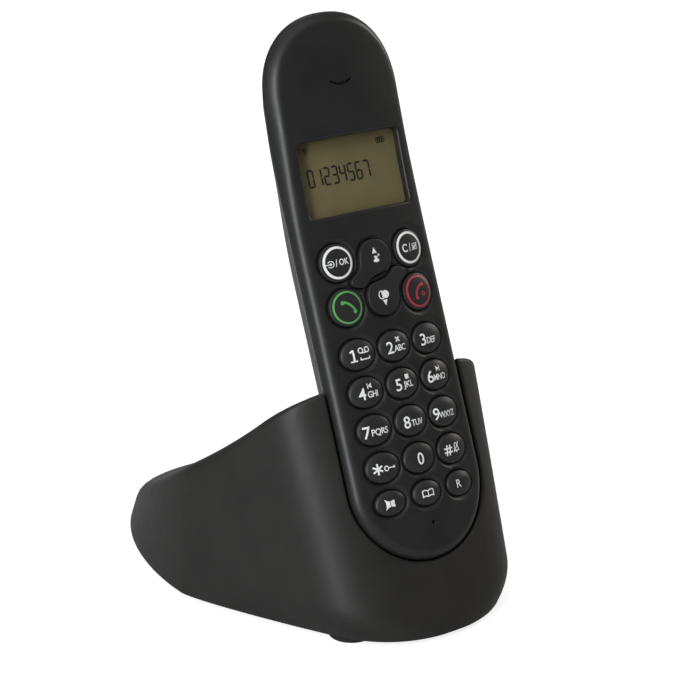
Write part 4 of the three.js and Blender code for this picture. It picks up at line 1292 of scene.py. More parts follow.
WINDOW = clear_window()
LCD = liquid_crystal()
BOARD = solder_mask()
SLEEVE = sleeve()

SLOT_FINISH = {
    "case": CASE, "underside": UNDERSIDE, "keys": KEYS_PLASTIC, "rubber": MEMBRANE, "feet": FOOT_RUBBER,
    "window": WINDOW, "display": LCD, "holder": HOLDER, "circuit_board": BOARD, "spring_steel": STEEL,
    "screws": SCREW_STEEL, "contacts": GOLD, "cell": SLEEVE, "socket": HOLDER, "power_socket": UNDERSIDE}


def finish_cad_nodes():
    """Every CAD node gets the procedural finish of its material slot."""
    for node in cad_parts.values():
        for slot in node.material_slots:
            key = slot.material.name.split(".")[0] if slot.material else "case"
            slot.material = SLOT_FINISH.get(key, CASE)


# ---- Keys ----

# Rise, place of the rim against the front, rounding of the edge, and how flat the dome is.
KEY_DOMES = {"oval": (1.0, -0.1, 0.35, 2.8), "ring": (0.62, -0.02, 0.14, 3.6)}
KEY_STEPS = {"oval": (0, 0.02, 0.06, 0.13, 0.22, 0.35), "ring": (0, 0.015, 0.04, 0.08, 0.14, 0.3),
             "comma": (0, 0.03, 0.08, 0.15, 0.24, 0.34)}
COMMA_HEIGHT = 0.45
COMMA_EDGE_ROUNDING = 0.34
COMMA_DOME = 0.14
FLANGE_WIDTH = {"oval": 0.7, "ring": 0.4, "comma": 0.4}
FLANGE_FOLLOWS = 0.35
FLANGE_THICKNESS = 0.7


def edge_drop(inward, rounding):
    """How far a rounded edge lies below the face, at distances in from the outline."""
    round_off = rounding - np.minimum(inward, rounding)
    return rounding - np.sqrt(np.maximum(rounding ** 2 - round_off ** 2, 0))


def key_top(name, places):
    """w of a key's top over places (x, v)."""
    kind, centre, form = KEYS[name]
    crown = front_height(places[:, 0], places[:, 1])
    if kind == "comma":
        loop = key_outline(name)
        inward = np.where(inside(places, loop), nearest(places, loop), 0)
        dome = COMMA_HEIGHT + COMMA_DOME * smoothstep(inward, 0.4, 4.5)
        return crown + dome - edge_drop(inward, COMMA_EDGE_ROUNDING)
    rise, rim, rounding, power = KEY_DOMES[kind]
    share = np.minimum(np.hypot(*((places - centre) / form).T), 1)
    return crown + rim + rise * (1 - share ** power) - edge_drop((1 - share) * form[1], rounding)


def comma_top(shape, name, outline):
    """The curved key's face, and its rings from the wall up to the rounded edge."""
    top = lambda places: np.c_[places, key_top(name, places)]
    loops = [offset_loop(outline, -step) for step in KEY_STEPS["comma"]]
    rings = [top(loop) for loop in loops[1:]]
    shape.sheet(spots_in(loops[-1], 0.8, 0.35, outline), [rings[-1]], [loops[-1]], [], top)
    return [np.c_[loops[0], rings[0][:, 2] - 0.2], *rings]


def round_top(shape, name, outline):
    """A round or oval key's rings from its wall up to the middle, and the fan that closes them."""
    kind, centre, form = KEYS[name]
    steps = 1 - np.array(KEY_STEPS[kind]) / form[1]
    shares = np.r_[steps, np.linspace(steps[-1], 0, 9)[1:-1]]
    loops = [centre + (outline - centre) * share for share in shares]
    rings = [np.c_[loop, key_top(name, loop)] for loop in loops]
    peak = len(outline)
    tip = [*centre, key_top(name, np.array([centre]))[0]]
    shape.add(np.vstack([rings[-1], tip]), [(i, (i + 1) % peak, peak) for i in range(peak)])
    return rings


def key_body(name):
    """One key: its rounded top, its wall, and the flange that holds it under the cover."""
    kind, centre, _ = KEYS[name]
    outline = key_outline(name)
    shape = Shape()
    rings = (comma_top if kind == "comma" else round_top)(shape, name, outline)
    grown = offset_loop(outline, FLANGE_WIDTH[kind])
    low = FLANGE_FOLLOWS * front_height(*centre) - FLANGE_DEPTH
    base = [level(grown, low - FLANGE_THICKNESS), level(grown, low), level(outline, low)]
    shape.strip(base + rings)
    shape.cap(base[0][::-1])
    piece = shape.build(f"keycap_{name}", handset_to_row)
    return finish_piece(piece, KEYS_PLASTIC, f"key_{name}", f"key_{name}", 50)


# ---- Ink: flat figures laid on a surface as thin raised print ----

FONT_CAP = 0.729  # height of a capital in the built-in font, for size 1
INK_RISE = 0.025
INK_SINK = 0.05


def fill(loop):
    """Points and triangles over a flat figure."""
    flat = lambda places: level(places, 0.0)
    work = Shape()
    work.sheet(spots_in(loop, 0.55, 0.15), [flat(loop)], [loop], [], flat)
    return np.vstack(work.points)[:, :2], np.array(work.faces)


def ribbon(points, width, closed=False):
    """A line of a width, with square ends."""
    points = closer(np.array(points, float), 0.45, closed)
    round_trip = np.roll(points, -1, axis=0) - np.roll(points, 1, axis=0)
    ahead = round_trip if closed else np.gradient(points, axis=0)
    ahead /= np.maximum(np.linalg.norm(ahead, axis=1), 1e-9)[:, None]
    side = np.stack([ahead[:, 1], -ahead[:, 0]], 1) * width / 2
    count = len(points)
    triangles = []
    for i in range(count if closed else count - 1):
        j = (i + 1) % count
        triangles += [(i, j, count + j), (i, count + j, count + i)]
    return np.vstack([points + side, points - side]), np.array(triangles)


def line(width, *points, closed=False):
    return ribbon(points, width, closed)


def band(centre, radius, width, count=40, turns=(0, 360)):
    whole_turn = turns[1] - turns[0] == 360
    return ribbon(arc(centre, radius, *turns, count, not whole_turn), width, whole_turn)


def polygon(*points):
    loop = np.array(points, float)
    area = np.sum(loop[:, 0] * np.roll(loop[:, 1], -1) - np.roll(loop[:, 0], -1) * loop[:, 1])
    return fill(loop if area > 0 else loop[::-1])


def disc(centre, radius, count=24):
    return fill(ellipse(centre, radius, count))


def words(text, centre, cap, stretch=1.0, heavy=0.0, spacing=1.0):
    """Text in the built-in font, by its middle and the height of its capitals."""
    curve = bpy.data.curves.new("words", "FONT")
    curve.body = text
    curve.size = cap / FONT_CAP
    curve.offset = heavy
    curve.space_character = spacing
    curve.resolution_u = 5
    holder = bpy.data.objects.new("words", curve)
    bpy.context.collection.objects.link(holder)
    work = bmesh.new()
    work.from_mesh(evaluated_mesh(holder))
    for _ in range(3):
        bmesh.ops.triangulate(work, faces=work.faces)
        long_edges = [e for e in work.edges if e.calc_length() > 0.7]
        bmesh.ops.subdivide_edges(work, edges=long_edges, cuts=1)
    bmesh.ops.triangulate(work, faces=work.faces)
    work.verts.ensure_lookup_table()
    points = np.array([v.co[:2] for v in work.verts])
    triangles = np.array([[v.index for v in f.verts] for f in work.faces])
    work.free()
    bpy.data.objects.remove(holder)
    bpy.data.curves.remove(curve)
    middle = (points.min(0) + points.max(0)) / 2
    return (points - middle) * (stretch, 1) + centre, triangles


def lay_ink(name, figures, origin, surface, to_row=handset_to_row):
    """A thin solid over each figure, following a surface given as its height over flat places."""
    points, faces, count = [], [], 0
    for flat, triangles in figures:
        flat = np.asarray(flat) + origin
        a, b, c = (flat[triangles[:, k]] for k in range(3))
        turned = (b[:, 0] - a[:, 0]) * (c[:, 1] - a[:, 1]) - (b[:, 1] - a[:, 1]) * (c[:, 0] - a[:, 0]) < 0
        triangles = np.where(turned[:, None], triangles[:, ::-1], triangles)
        w = surface(flat)
        total = len(flat)
        points += [np.c_[flat, w + INK_RISE], np.c_[flat, w - INK_SINK]]
        directed = {(int(t[k]), int(t[(k + 1) % 3])) for t in triangles for k in range(3)}
        faces += [tuple(int(i) + count for i in t) for t in triangles]
        faces += [tuple(int(i) + count + total for i in t[::-1]) for t in triangles]
        faces += [(i + count, i + count + total, j + count + total, j + count) for i, j in directed
                  if (j, i) not in directed]
        count += total * 2
    return mesh_object(name, to_row(np.vstack(points)) / 1000, faces)


# ---- Signs, each drawn round its own middle ----

def put(x, y, figures):
    return [(points + (x, y), triangles) for points, triangles in figures]


def one_mark():
    """A figure 1 with a flag and a foot."""
    return [line(0.55, (0.15, -1.6), (0.15, 1.7)), line(0.4, (-0.85, -1.5), (1.1, -1.5)),
            line(0.42, (-0.75, 1.05), (-0.2, 1.35), (0.2, 1.62))]


def cross_mark(size=0.62):
    return [line(0.42, (-size, -size * way), (size, size * way)) for way in (1, -1)]


def skip_mark(way):
    return [polygon((-0.6 * way, 0), (0.5 * way, 0.75), (0.5 * way, -0.75)),
            line(0.24, (-0.75 * way, -0.75), (-0.75 * way, 0.75))]


def voicemail():
    return [band((-1, 0), 0.68, 0.32), band((1, 0), 0.68, 0.32), line(0.32, (-1, -0.68), (1, -0.68))]


def space_mark():
    return [line(0.34, (-1.45, 0.65), (-1.45, -0.16)), line(0.34, (-1.6, 0), (1.6, 0)),
            line(0.34, (1.45, 0.65), (1.45, -0.16))]


def star_mark():
    return [line(0.5, -end, end) for end in arc((0, 0), 1.55, 30, 150, 3)]


def key_mark():
    """A small door key, for the keypad lock."""
    return [band((-1.1, 0), 0.62, 0.3), line(0.3, (-0.5, 0), (1.6, 0)), disc((1.4, 0), 0.38, 16)]


def hash_mark():
    uprights = [line(0.42, (x - 0.22, -1.5), (x + 0.22, 1.5)) for x in (-0.5, 0.5)]
    return uprights + [line(0.42, (-1.4, y), (1.4, y)) for y in (-0.55, 0.55)]


def silent_bell():
    half = bezier([(-0.9, -0.85), (-0.55, -0.4), (-0.75, 1.2), (0, 1.25)], 10)
    return [ribbon(np.vstack([half[:-1], half[::-1] * (-1, 1)]), 0.26), line(0.26, (-1, -0.85), (1, -0.85)),
            disc((0, -1.15), 0.28, 12), line(0.26, (-1.15, -1.25), (1.15, 1.35))]


def speaker_mark():
    return [polygon((-1.5, 1.45), (-0.9, 1), (-0.1, 0.75), (-0.1, -0.75), (-0.9, -1), (-1.5, -1.45)),
            polygon((0.1, 0.75), (1.35, 0.95), (1.35, -0.95), (0.1, -0.75))]


def book_mark():
    out = [line(0.26, (0, 0.7), (0, -0.9))]
    for way in ((-1, 1), (1, 1)):
        top = bezier([(0, 0.62), (0.7, 1.1), (1.4, 1), (1.8, 0.75)], 8) * way
        low = bezier([(0, -0.9), (0.7, -0.5), (1.4, -0.6), (1.8, -0.85)], 8) * way
        edge = np.array([(1.8, 0.85), (1.8, -1)]) * way
        out += [ribbon(top, 0.3), ribbon(low, 0.34), ribbon(edge, 0.3)]
    return out


def handset_mark(start, bulge, end):
    """A telephone receiver drawn along a curve, with a thick pad at each end."""
    curve = bezier([start, bulge, end], 14)
    pads = []
    for place, way in ((curve[1], curve[0] - curve[2]), (curve[-2], curve[-1] - curve[-3])):
        way = unit(way)
        side = np.array([way[1], -way[0]])
        if np.dot(side, (curve[0] + curve[-1]) / 2 - curve[7]) < 0:
            side = -side
        pads.append(polygon(place - way * 0.55 - side * 0.15, place + way * 0.5 - side * 0.15,
                            place + way * 0.5 + side * 0.75, place - way * 0.45 + side * 0.75))
    return [ribbon(curve, 0.62), *pads]


def enter_mark():
    """An arrow into a half-round frame, for opening the menu."""
    return [band((0, 0), (0.95, 0.85), 0.24, 24, (-140, 140)), line(0.28, (-1.5, 0), (0.1, 0)),
            polygon((-0.05, 0.45), (0.5, 0), (-0.05, -0.45))]


def mute_mark():
    """A microphone in a crossed frame."""
    return [line(0.2, (-0.75, -0.8), (0.75, -0.8), (0.75, 0.8), (-0.75, 0.8), closed=True),
            ribbon(bezier([(-0.4, 0.4), (-0.5, -0.7), (0.5, -0.7), (0.4, 0.4)], 12), 0.18),
            line(0.24, (-1.1, -0.95), (1.1, 0.95))]


def call_list_mark():
    """A receiver standing on its base, with a small arrow."""
    return [disc((-0.1, -0.55), (0.95, 0.5)), disc((-0.05, 0.1), (0.4, 0.6), 16),
            line(0.3, (-0.65, 0.35), (-0.3, 0.7), (0.15, 0.55)), line(0.22, (0.2, 0.2), (1, 1)),
            polygon((0.5, 1.15), (1.2, 1.15), (1.2, 0.45))]


def redial_mark():
    return [band((-0.75, 0), (0.9, 1.1), 0.26), disc((0.55, 0), (1.15, 1.1)),
            line(0.2, (-0.6, 0.9), (-0.6, -0.9))]


def triangle_mark(way):
    return [polygon((-0.8, -0.75 * way), (0.8, -0.75 * way), (0, 0.9 * way))]


def bar_mark(size=1.0):
    return [line(0.2, (-0.18, -size), (0.18, size))]


# ---- Legends ----

DIGIT_CAP = 3.4
LETTER_CAP = 1.8
RING_INSET = 0.7
RINGS = {"ok": (0.66, WHITE_INK), "clear": (0.66, WHITE_INK), "talk": (0.5, GREEN_INK),
         "end": (0.56, RED_INK)}


def digit(text, x=-1.9):
    return words(text, (x, -0.25), DIGIT_CAP, 0.95, 0.045)


def letters(text, x, stretch=0.86):
    return words(text, (x, -0.75), LETTER_CAP, stretch, 0.03, 0.92)


LEGENDS = {
    "1": lambda: [*put(-2.1, -0.15, one_mark()), *put(1.35, 0.95, voicemail()),
                  *put(1.45, -1.55, space_mark())],
    "2": lambda: [digit("2", -2.2), letters("ABC", 0.95), *put(0.7, 1.65, cross_mark())],
    "3": lambda: [digit("3", -2.4), letters("DEF", 0.45)],
    "4": lambda: [digit("4"), letters("GHI", 1.3), *put(0.85, 1.6, skip_mark(1))],
    "5": lambda: [digit("5", -2.1), letters("JKL", 1.1, 1.0),
                  polygon((0.4, 0.95), (1.7, 0.95), (1.7, 2.25), (0.4, 2.25))],
    "6": lambda: [digit("6", -2.7), letters("MNO", 0.6, 0.8), *put(0.2, 1.6, skip_mark(-1))],
    "7": lambda: [digit("7", -2.95), letters("PQRS", 0.95, 0.98)],
    "8": lambda: [digit("8", -2.1), letters("TUV", 1.25)],
    "9": lambda: [digit("9", -3.4), letters("WXYZ", 0.25, 0.78)],
    "star": lambda: [*put(-2.2, -0.1, star_mark()), *put(1.45, -0.35, key_mark())],
    "0": lambda: [digit("0", -0.35)],
    "hash": lambda: [*put(-2.1, -0.3, hash_mark()), *put(0.8, 0.0, silent_bell())],
    "loudspeaker": lambda: put(-0.8, -0.1, speaker_mark()),
    "phonebook": lambda: put(-0.4, -0.1, book_mark()),
    "recall": lambda: [words("R", (-1.1, 0), 2.4, 0.9, 0.0)],
    "ok": lambda: [*put(-2.35, -0.1, enter_mark()), *put(-0.6, 0, bar_mark()),
                   words("OK", (1.75, 0.05), 1.75, 0.82, 0.03)],
    "clear": lambda: [words("C", (-1.75, 0), 2.3, 0.9, 0.05), *put(0.1, 0, bar_mark(1.2)),
                      *put(1.9, 0.05, mute_mark())],
    "talk": lambda: handset_mark((-1.75, 1.75), (1.0, 1.35), (2.3, -1.75)),
    "end": lambda: [*handset_mark((1.9, 2.1), (-1.5, 1.1), (-1.3, -2.2)), band((1.4, -0.9), 0.5, 0.3, 16)],
    "up": lambda: [*put(-0.35, 2.0, triangle_mark(1)), *put(-0.1, -0.25, call_list_mark())],
    "down": lambda: [*put(-0.25, 0.45, redial_mark()), *put(-0.25, -1.75, triangle_mark(-1))]}


def legend(name):
    _, centre, form = KEYS[name]
    figures = LEGENDS[name]()
    ink = WHITE_INK
    if name in RINGS:
        width, ink = RINGS[name]
        figures.append(band((0, 0), form[0] - RING_INSET - width / 2, width, 96))
    piece = lay_ink(f"legend_{name}", figures, centre, lambda places: key_top(name, places))
    return finish_piece(piece, ink, f"key_{name}", None, 60)


def keypad():
    for name in KEYS:
        key_body(name)
        legend(name)


# ---- Display ----

SEGMENTS = {"0": "abcdef", "1": "bc", "2": "abged", "3": "abgcd", "4": "fgbc", "5": "afgcd", "6": "afgecd",
            "7": "abc"}
DISPLAY_DEPTH = 3.8
DISPLAY_NUMBER = "01234567"
AERIAL = (-12.6, 7.6)


def segment_digit(text, x, v, half=(0.85, 2.3)):
    a, b = half
    ends = {"a": ((-a, b), (a, b)), "b": ((a, b), (a, 0)), "c": ((a, 0), (a, -b)), "d": ((-a, -b), (a, -b)),
            "e": ((-a, 0), (-a, -b)), "f": ((-a, b), (-a, 0)), "g": ((-a, 0), (a, 0))}
    out = []
    for name in SEGMENTS[text]:
        start, end = (np.array(p) + (x, v) for p in ends[name])
        gap = unit(end - start) * 0.1
        out.append(line(0.56, start + gap, end - gap))
    return out


def display_figures():
    """A row of figures, an aerial with its waves, and a full battery."""
    figures = []
    for k, text in enumerate(DISPLAY_NUMBER):
        figures += segment_digit(text, -12.6 + 2.72 * k, 0.6)
    figures += [band(AERIAL, 0.5 + 0.45 * k, 0.22, 12, (45, 135)) for k in range(3)]
    figures.append(line(0.3, (-12.6, 7.0), (-12.6, 7.9)))
    figures.append(line(0.24, (11.6, 7.2), (14.2, 7.2), (14.2, 8.6), (11.6, 8.6), closed=True))
    figures += [line(0.46, (x, 7.35), (x, 8.45)) for x in (12.2, 12.9, 13.6)]
    figures.append(line(0.3, (14.55, 7.6), (14.55, 8.2)))
    return figures


def display():
    """The liquid-crystal figures, a little proud of the panel's glass."""
    flat = lambda places: np.full(len(places), -DISPLAY_DEPTH)
    piece = lay_ink("display_figures", display_figures(), DISPLAY[:2], flat)
    finish_piece(piece, SEGMENT_INK, "handset", None, 60)


# ---- Back of the handset ----

CELL_RADIUS = 5.25
CELL_LENGTH = 44.5
CELL_START = 52.0
CELL_DEPTH = THICKNESS - COVER_WALL - 2.4 - CELL_RADIUS
CELL_END_GAP = 1.8
TRAY_WALL = 1.1
TRAY_FLOOR = -CELL_DEPTH + CELL_RADIUS + SEAM + TRAY_WALL
TRAY = (CELL_RADIUS * 2 + 0.5, CELL_START - CELL_END_GAP, CELL_START + CELL_LENGTH + CELL_END_GAP)
FAR = 60.0


def back_solid(name, inset, start, bevel=0.0):
    """The handset's form behind a height w, drawn in by inset, as a closed solid."""
    places = BACK_SECTION[::2]
    slope = unit(np.gradient(places, axis=0))
    places = places - inset * np.stack([-slope[:, 1], slope[:, 0]], 1)
    rings = np.array([back_ring(place) for place in places])
    if start > -1:
        loops = [rings[0] + (0, 0, start - rings[0][:, 2].mean()), *rings[1:]]
    else:
        below = start - bevel
        loops = [ring_at(rings, below), *(ring for ring in rings if (ring[:, 2] < below - 0.05).all())]
    if bevel:
        loops.insert(0, level(offset_loop(loops[0][:, :2], -bevel), start))
    shape = Shape()
    shape.strip(loops)
    shape.cap(loops[0])
    rim = loops[-1]
    depth = float(places[-1][1])
    back = lambda q: np.c_[q, depth * depth_share(q[:, 1]) - widest_depth(q[:, 1])]
    shape.sheet(spots_in(rim[:, :2], 2.2, 1.1), [rim], [rim[:, :2]], [], back)
    return shape.build(name, handset_to_row, 0.002)


def rounded_block(name, half, low, high, w0, w1, radius):
    """A box across the middle of the handset with round corners in its plan."""
    loop = rounded_box((0, (low + high) / 2), (half, (high - low) / 2), radius, 10, 2.0)
    return tube(name, [level(loop, w) for w in (w0, w1)], handset_to_row)


TOP_SCREWS = DISPLAY[1] + DISPLAY[3] + 6.2
SCREW_PLACES = ((-12.2, 11.0), (12.2, 11.0), (-14.0, TOP_SCREWS), (14.0, TOP_SCREWS))
BOARD_BACK = -8.5
SCREW_SEAT = BOARD_BACK - SEAM - 1
DOOR_CORNER = 1.6
SCREW_RECESS = 2.3
OVERLAP = 0.01


def battery_tray():
    """The walls and the floor round the cells, with a web at each end of the door's opening."""
    half, start, end = TRAY
    wall = TRAY_WALL
    door_half, door_start, door_end = DOOR
    webs = (door_start - wall - SEAM, door_end + SEAM)
    box = (-half - wall, half + wall, start - wall, end + wall, -FAR, TRAY_FLOOR)
    tray = blocks("tray", handset_to_row, box)
    room = (-half, half, start, end, -FAR * 2, TRAY_FLOOR - wall)
    cut(tray, blocks("tray_room", handset_to_row, room))
    for rim in webs:
        web = (-door_half, door_half, rim, rim + wall, -FAR, TRAY_FLOOR)
        cut(tray, blocks("web", handset_to_row, web), "UNION")
    out = half + wall + OVERLAP
    floor = (-out, out, webs[0] - OVERLAP, webs[1] + wall + OVERLAP, TRAY_FLOOR - wall, TRAY_FLOOR + OVERLAP)
    cut(tray, blocks("tray_floor", handset_to_row, floor), "UNION")
    cut(tray, back_solid("tray_limit", 0.6, 0.5), "INTERSECT")
    return tray


def rear_cover():
    door_half, door_start, door_end = DOOR
    cover = back_solid("rear_moulding", 0, -PARTING - SEAM, 0.25)
    cut(cover, back_solid("inside", COVER_WALL, 0.5))
    posts, recesses = Shape(), Shape()
    boss, post_end = SCREW_RECESS + 1.1, BOARD_BACK - SEAM
    for x, v in SCREW_PLACES:
        posts.lathe([(boss, -FAR), (boss, post_end)], 32, upright(x, v))
        recesses.lathe([(SCREW_RECESS, -FAR * 2), (SCREW_RECESS, SCREW_SEAT)], 32, upright(x, v))
        recesses.lathe([(THREAD_BORE, BOARD_BACK - 0.9), (THREAD_BORE, 2)], 24, upright(x, v))
    posts = posts.build("posts", handset_to_row, FINE_WELD)
    cut(posts, back_solid("post_limit", 0.3, 0.5), "INTERSECT")
    cut(cover, posts, "UNION")
    cut(cover, recesses.build("recesses", handset_to_row, FINE_WELD))
    opening = rounded_block("door_room", door_half + SEAM, door_start - SEAM, door_end + SEAM, -FAR,
                            TRAY_FLOOR - TRAY_WALL, DOOR_CORNER)
    cut(cover, opening)
    cut(cover, battery_tray(), "UNION")
    slots = [(x - 2.0, x + 2.0, -2, 12, -CONTACT[2] - 1.6, -CONTACT[2] + 1.6)
             for x in (-CONTACT[0], CONTACT[0])]
    cut(cover, blocks("contact_slots", handset_to_row, *slots))
    return cover


GRIP_RIBS = 5
GRIP_PITCH = 1.9


def battery_door():
    """The door: a patch of the same wall, with a tongue inside its free end. The finger ribs near that end
    are a piece of their own, made by grip_ribs.
    """
    door_half, door_start, door_end = DOOR
    door = back_solid("door_moulding", 0, -PARTING - SEAM)
    cut(door, back_solid("inside", COVER_WALL, 0.5))
    limit = rounded_block("door_limit", door_half, door_start, door_end, -FAR,
                          TRAY_FLOOR - TRAY_WALL, DOOR_CORNER)
    cut(door, limit, "INTERSECT")
    tongue_start = CELL_START + CELL_LENGTH + CELL_END_GAP + TRAY_WALL + SEAM
    depth = float(back_height(np.array([[0.0, tongue_start]]))[0])
    tongue = (-4, 4, tongue_start, tongue_start + 1.1, -FAR, depth + COVER_WALL + 1.2)
    tongue = blocks("tongue", handset_to_row, tongue)
    cut(tongue, back_solid("tongue_limit", 0.6, 0.5), "INTERSECT")
    cut(door, tongue, "UNION")
    return door


def grip_ribs():
    """Low ribs across the door, for the thumb that pushes it open."""
    shape = Shape()
    across = np.linspace(-1, 1, 25)
    arch = np.linspace(0, math.pi, 9)
    for k in range(GRIP_RIBS):
        v = DOOR[2] - 5.5 - k * GRIP_PITCH
        reach = 5.2 - 0.45 * abs(k - (GRIP_RIBS - 1) / 2)
        loops = []
        for x in across * reach:
            size = 0.42 * math.sqrt(max(1 - (x / (reach * 1.02)) ** 6, 0.02))
            places = np.c_[np.full(len(arch), x), v + 0.5 * np.cos(arch)]
            w = back_height(places) - size * np.sin(arch) + 0.02
            bottom = np.c_[places[[-1, 0]], back_height(places[[-1, 0]]) + 0.5]
            loops.append(np.vstack([np.c_[places, w], bottom]))
        shape.tube(loops)
    return shape.build("door_grip", handset_to_row, FINE_WELD)


# ---- Small pieces of the handset ----

def cell(side):
    """A sleeved cell with a crimped rim, a bare top ring and a positive cap."""
    radius, nub = CELL_RADIUS, 0.8
    body = CELL_LENGTH - nub
    profile = [(0, 0.35), (radius - 1.5, 0.35), (radius - 1.1, 0), (radius - 0.35, 0.08), (radius, 0.5),
               (radius, 1.6), (radius - 0.12, 2.0), (radius, 2.4), (radius, body - 2.2),
               (radius - 0.15, body - 1.8), (radius, body - 1.4), (radius, body - 0.5),
               (radius - 0.45, body - 0.05), (radius - 1.2, body), (1.95, body),
               (1.9, CELL_LENGTH - 0.25), (1.65, CELL_LENGTH), (0, CELL_LENGTH)]
    if side > 0:
        profile = [(r, CELL_LENGTH - z) for r, z in profile[::-1]]
    profile = [(r, z + CELL_START) for r, z in profile]
    place = along_handset(side * (radius + 0.15), -CELL_DEPTH)
    name = "left" if side < 0 else "right"
    piece = lathe_piece(f"sleeved_cell_{name}", profile, 64, place, handset_to_row)
    return finish_piece(piece, SLEEVE, "handset", f"cell_{name}", 40)


def handset_back():
    finish_piece(rear_cover(), CASE, "handset", "rear_cover", 38)
    finish_piece(battery_door(), CASE, "battery_door", "battery_door", 38)
    finish_piece(grip_ribs(), CASE, "battery_door", None, 50)
    for side in (-1, 1):
        cell(side)


# ---- Small pieces ----

SCREW_HEAD = 2.0
SCREW_SHANK = 1.0


def cross_recess(size):
    """The loop of a cross-shaped screwdriver recess."""
    half = size * 0.3
    corner = half * 1.25
    quarter = np.array([(size, -half), (size, half), (corner, corner)])
    quarter_turn = np.array([(0, 1), (-1, 0)])
    return np.vstack([quarter @ np.linalg.matrix_power(quarter_turn, k) for k in range(4)])


def screw(name, node, body, head, tip, place, to_row):
    """A pan-head screw with a cross recess, its head down and its tip up."""
    rim, thread = 0.35, 0.25
    profile = [(0, head - 1.35), *arc((SCREW_HEAD - rim, head - 1.0), rim, -90, 0, 5),
               (SCREW_HEAD, head - 0.1), (SCREW_HEAD - 0.1, head), (SCREW_SHANK, head)]
    for k in range(int((tip - 0.8 - head) / thread)):
        z = head + 0.1 + k * thread
        profile += [(SCREW_SHANK * 0.8, z), (SCREW_SHANK, z + 0.12)]
    profile += [(SCREW_SHANK * 0.75, tip - 0.7), (0.2, tip), (0, tip)]
    piece = lathe_piece(name, profile, 40, place, to_row)
    loop = cross_recess(SCREW_HEAD * 0.62)
    steps = [(1, head - 2.5), (1, head - 1.1), (0.35, head - 0.5)]
    cut(piece, tube("recess", [place(level(loop * share, w)) for share, w in steps], to_row))
    return finish_piece(piece, SCREW_STEEL, body, node, 40)


def screws():
    kinds = [("case", "handset", SCREW_PLACES, SCREW_SEAT, -2.8, handset_to_row),
             ("foot", "base", BASE_SCREWS, BASE_SCREW_SEAT, BASE_SCREW_TIP, base_to_row)]
    for name, body, places, seat, tip, to_row in kinds:
        for k, place in enumerate(places, 1):
            screw(f"{name}_screw_{k}", f"{body}_screw_{k}", body, seat - SEAM, tip, upright(*place), to_row)


FEET = ((-21.5, 16.0), (21.5, 16.0), (-30.0, 92.0), (30.0, 92.0))
FOOT_RADIUS = 6.4


def feet():
    """Rubber discs with a rounded rim and a shallow dish, so that they grip."""
    profile = [(0, 0.25), (2.4, 0.25), (2.9, 0.0), (FOOT_RADIUS - 0.5, 0),
               *arc((FOOT_RADIUS - 0.5, 0.5), 0.5, math.degrees(0.2) - 90, 0, 5),
               (FOOT_RADIUS, FOOT_HEIGHT - 0.1), (0, FOOT_HEIGHT - 0.1)]
    for k, place in enumerate(FEET, 1):
        piece = lathe_piece(f"rubber_foot_{k}", profile, 56, upright(*place))
        finish_piece(piece, FOOT_RUBBER, "base", f"foot_{k}", 40)


def receiver_felt():
    """The dark felt that shows in the earpiece slot."""
    loop = offset_loop(smile(), -0.03)
    loops = [np.c_[loop, front_height(loop[:, 0], loop[:, 1]) - depth] for depth in (1.6, 0.55)]
    finish_piece(tube("receiver_felt", loops, handset_to_row, WELD), FELT, "handset", None, 40)


def locate_button():
    """The round button on the sloping top that makes the handset ring."""
    under = -BASE_WALL * 1.25 - SEAM * 3
    radius = LOCATE_RADIUS
    dome = lambda share: 0.75 + 0.32 * (1 - share ** 2)
    profile = [(0, under - 1.2), (radius + 1, under - 1.2), (radius + 1, under), (radius, under),
               (radius, 0.25), *arc((radius - 0.5, 0.25), 0.5, math.degrees(0.2), 90, 6),
               *((radius * share, dome(share)) for share in (0.85, 0.7, 0.5, 0.3, 0.12)), (0, 1.07)]
    piece = lathe_piece("locate_cap", profile, 72, on_slope)
    finish_piece(piece, KEYS_PLASTIC, "locate_button", "locate_button", 40)
    figures = handset_mark((-1.9, 0.9), (0.0, 1.5), (1.9, 0.9))
    figures += [band((0, -0.2), 0.35 + 0.85 * k, 0.32, 16, (215, 325)) for k in (1, 2)]
    figures.append(disc((0, -0.55), 0.4, 16))
    top = lambda places: dome(np.hypot(places[:, 0], places[:, 1]) / radius)
    mark = lay_ink("locate_mark", figures, (0, 0), top, lambda q: base_to_row(on_slope(q)))
    finish_piece(mark, WHITE_INK, "locate_button", None, 60)


def charge_pins():
    """Sprung pins with domed tips in the bottom of the cradle."""
    tip, boss = CONTACT[1] - SEAM, CONTACT[1] - PIN_GUIDE
    radius, dome = 1.0, 0.8
    tip_curve = arc((0, tip - dome), (radius, dome), math.degrees(0.15), math.degrees(1.45), 8)
    collar = 1.9
    profile = [(0, boss - 4.5), (radius, boss - 4.5), (radius, boss - 1.4), (collar, boss - 1.4),
               (collar, boss - SEAM), (radius, boss - SEAM), (radius, tip - dome), *tip_curve, (0, tip)]
    for side, name in ((-1, "left"), (1, "right")):
        piece = lathe_piece(f"contact_pin_{name}", profile, 40, along_pins(side))
        finish_piece(piece, GOLD, f"charge_pin_{name}", f"charge_pin_{name}", 40)


def contact_strips():
    """Gold-plated plates in the bottom of the handset, with rounded edges."""
    for side, name in ((-1, "left"), (1, "right")):
        loop = rounded_box((side * CONTACT[0], -CONTACT[2]), (1.7, 1.3), 0.35, 5, 0.6)
        place = lambda q, v: np.stack([q[:, 0], np.full(len(q), v), q[:, 1]], 1)
        low, high, edge = CONTACT[1], CONTACT[1] + 3, 0.15
        steps = [(-edge, low), (-edge * 0.3, low + edge * 0.3), (0, low + edge), (0, high)]
        rings = [place(offset_loop(loop, grow), v) for grow, v in steps]
        piece = tube(f"contact_plate_{name}", rings, handset_to_row)
        finish_piece(piece, GOLD, "handset", f"charge_contact_{name}", 40)


CABLE_WELL = (19.0, 62.0, 92.0, 1.5)
SOCKET = (9.5, 6.2, 5.0)
BASE_BOARD = 13.4
BOARD_POSTS = ((-20, 34), (20, 34), (0, 24))


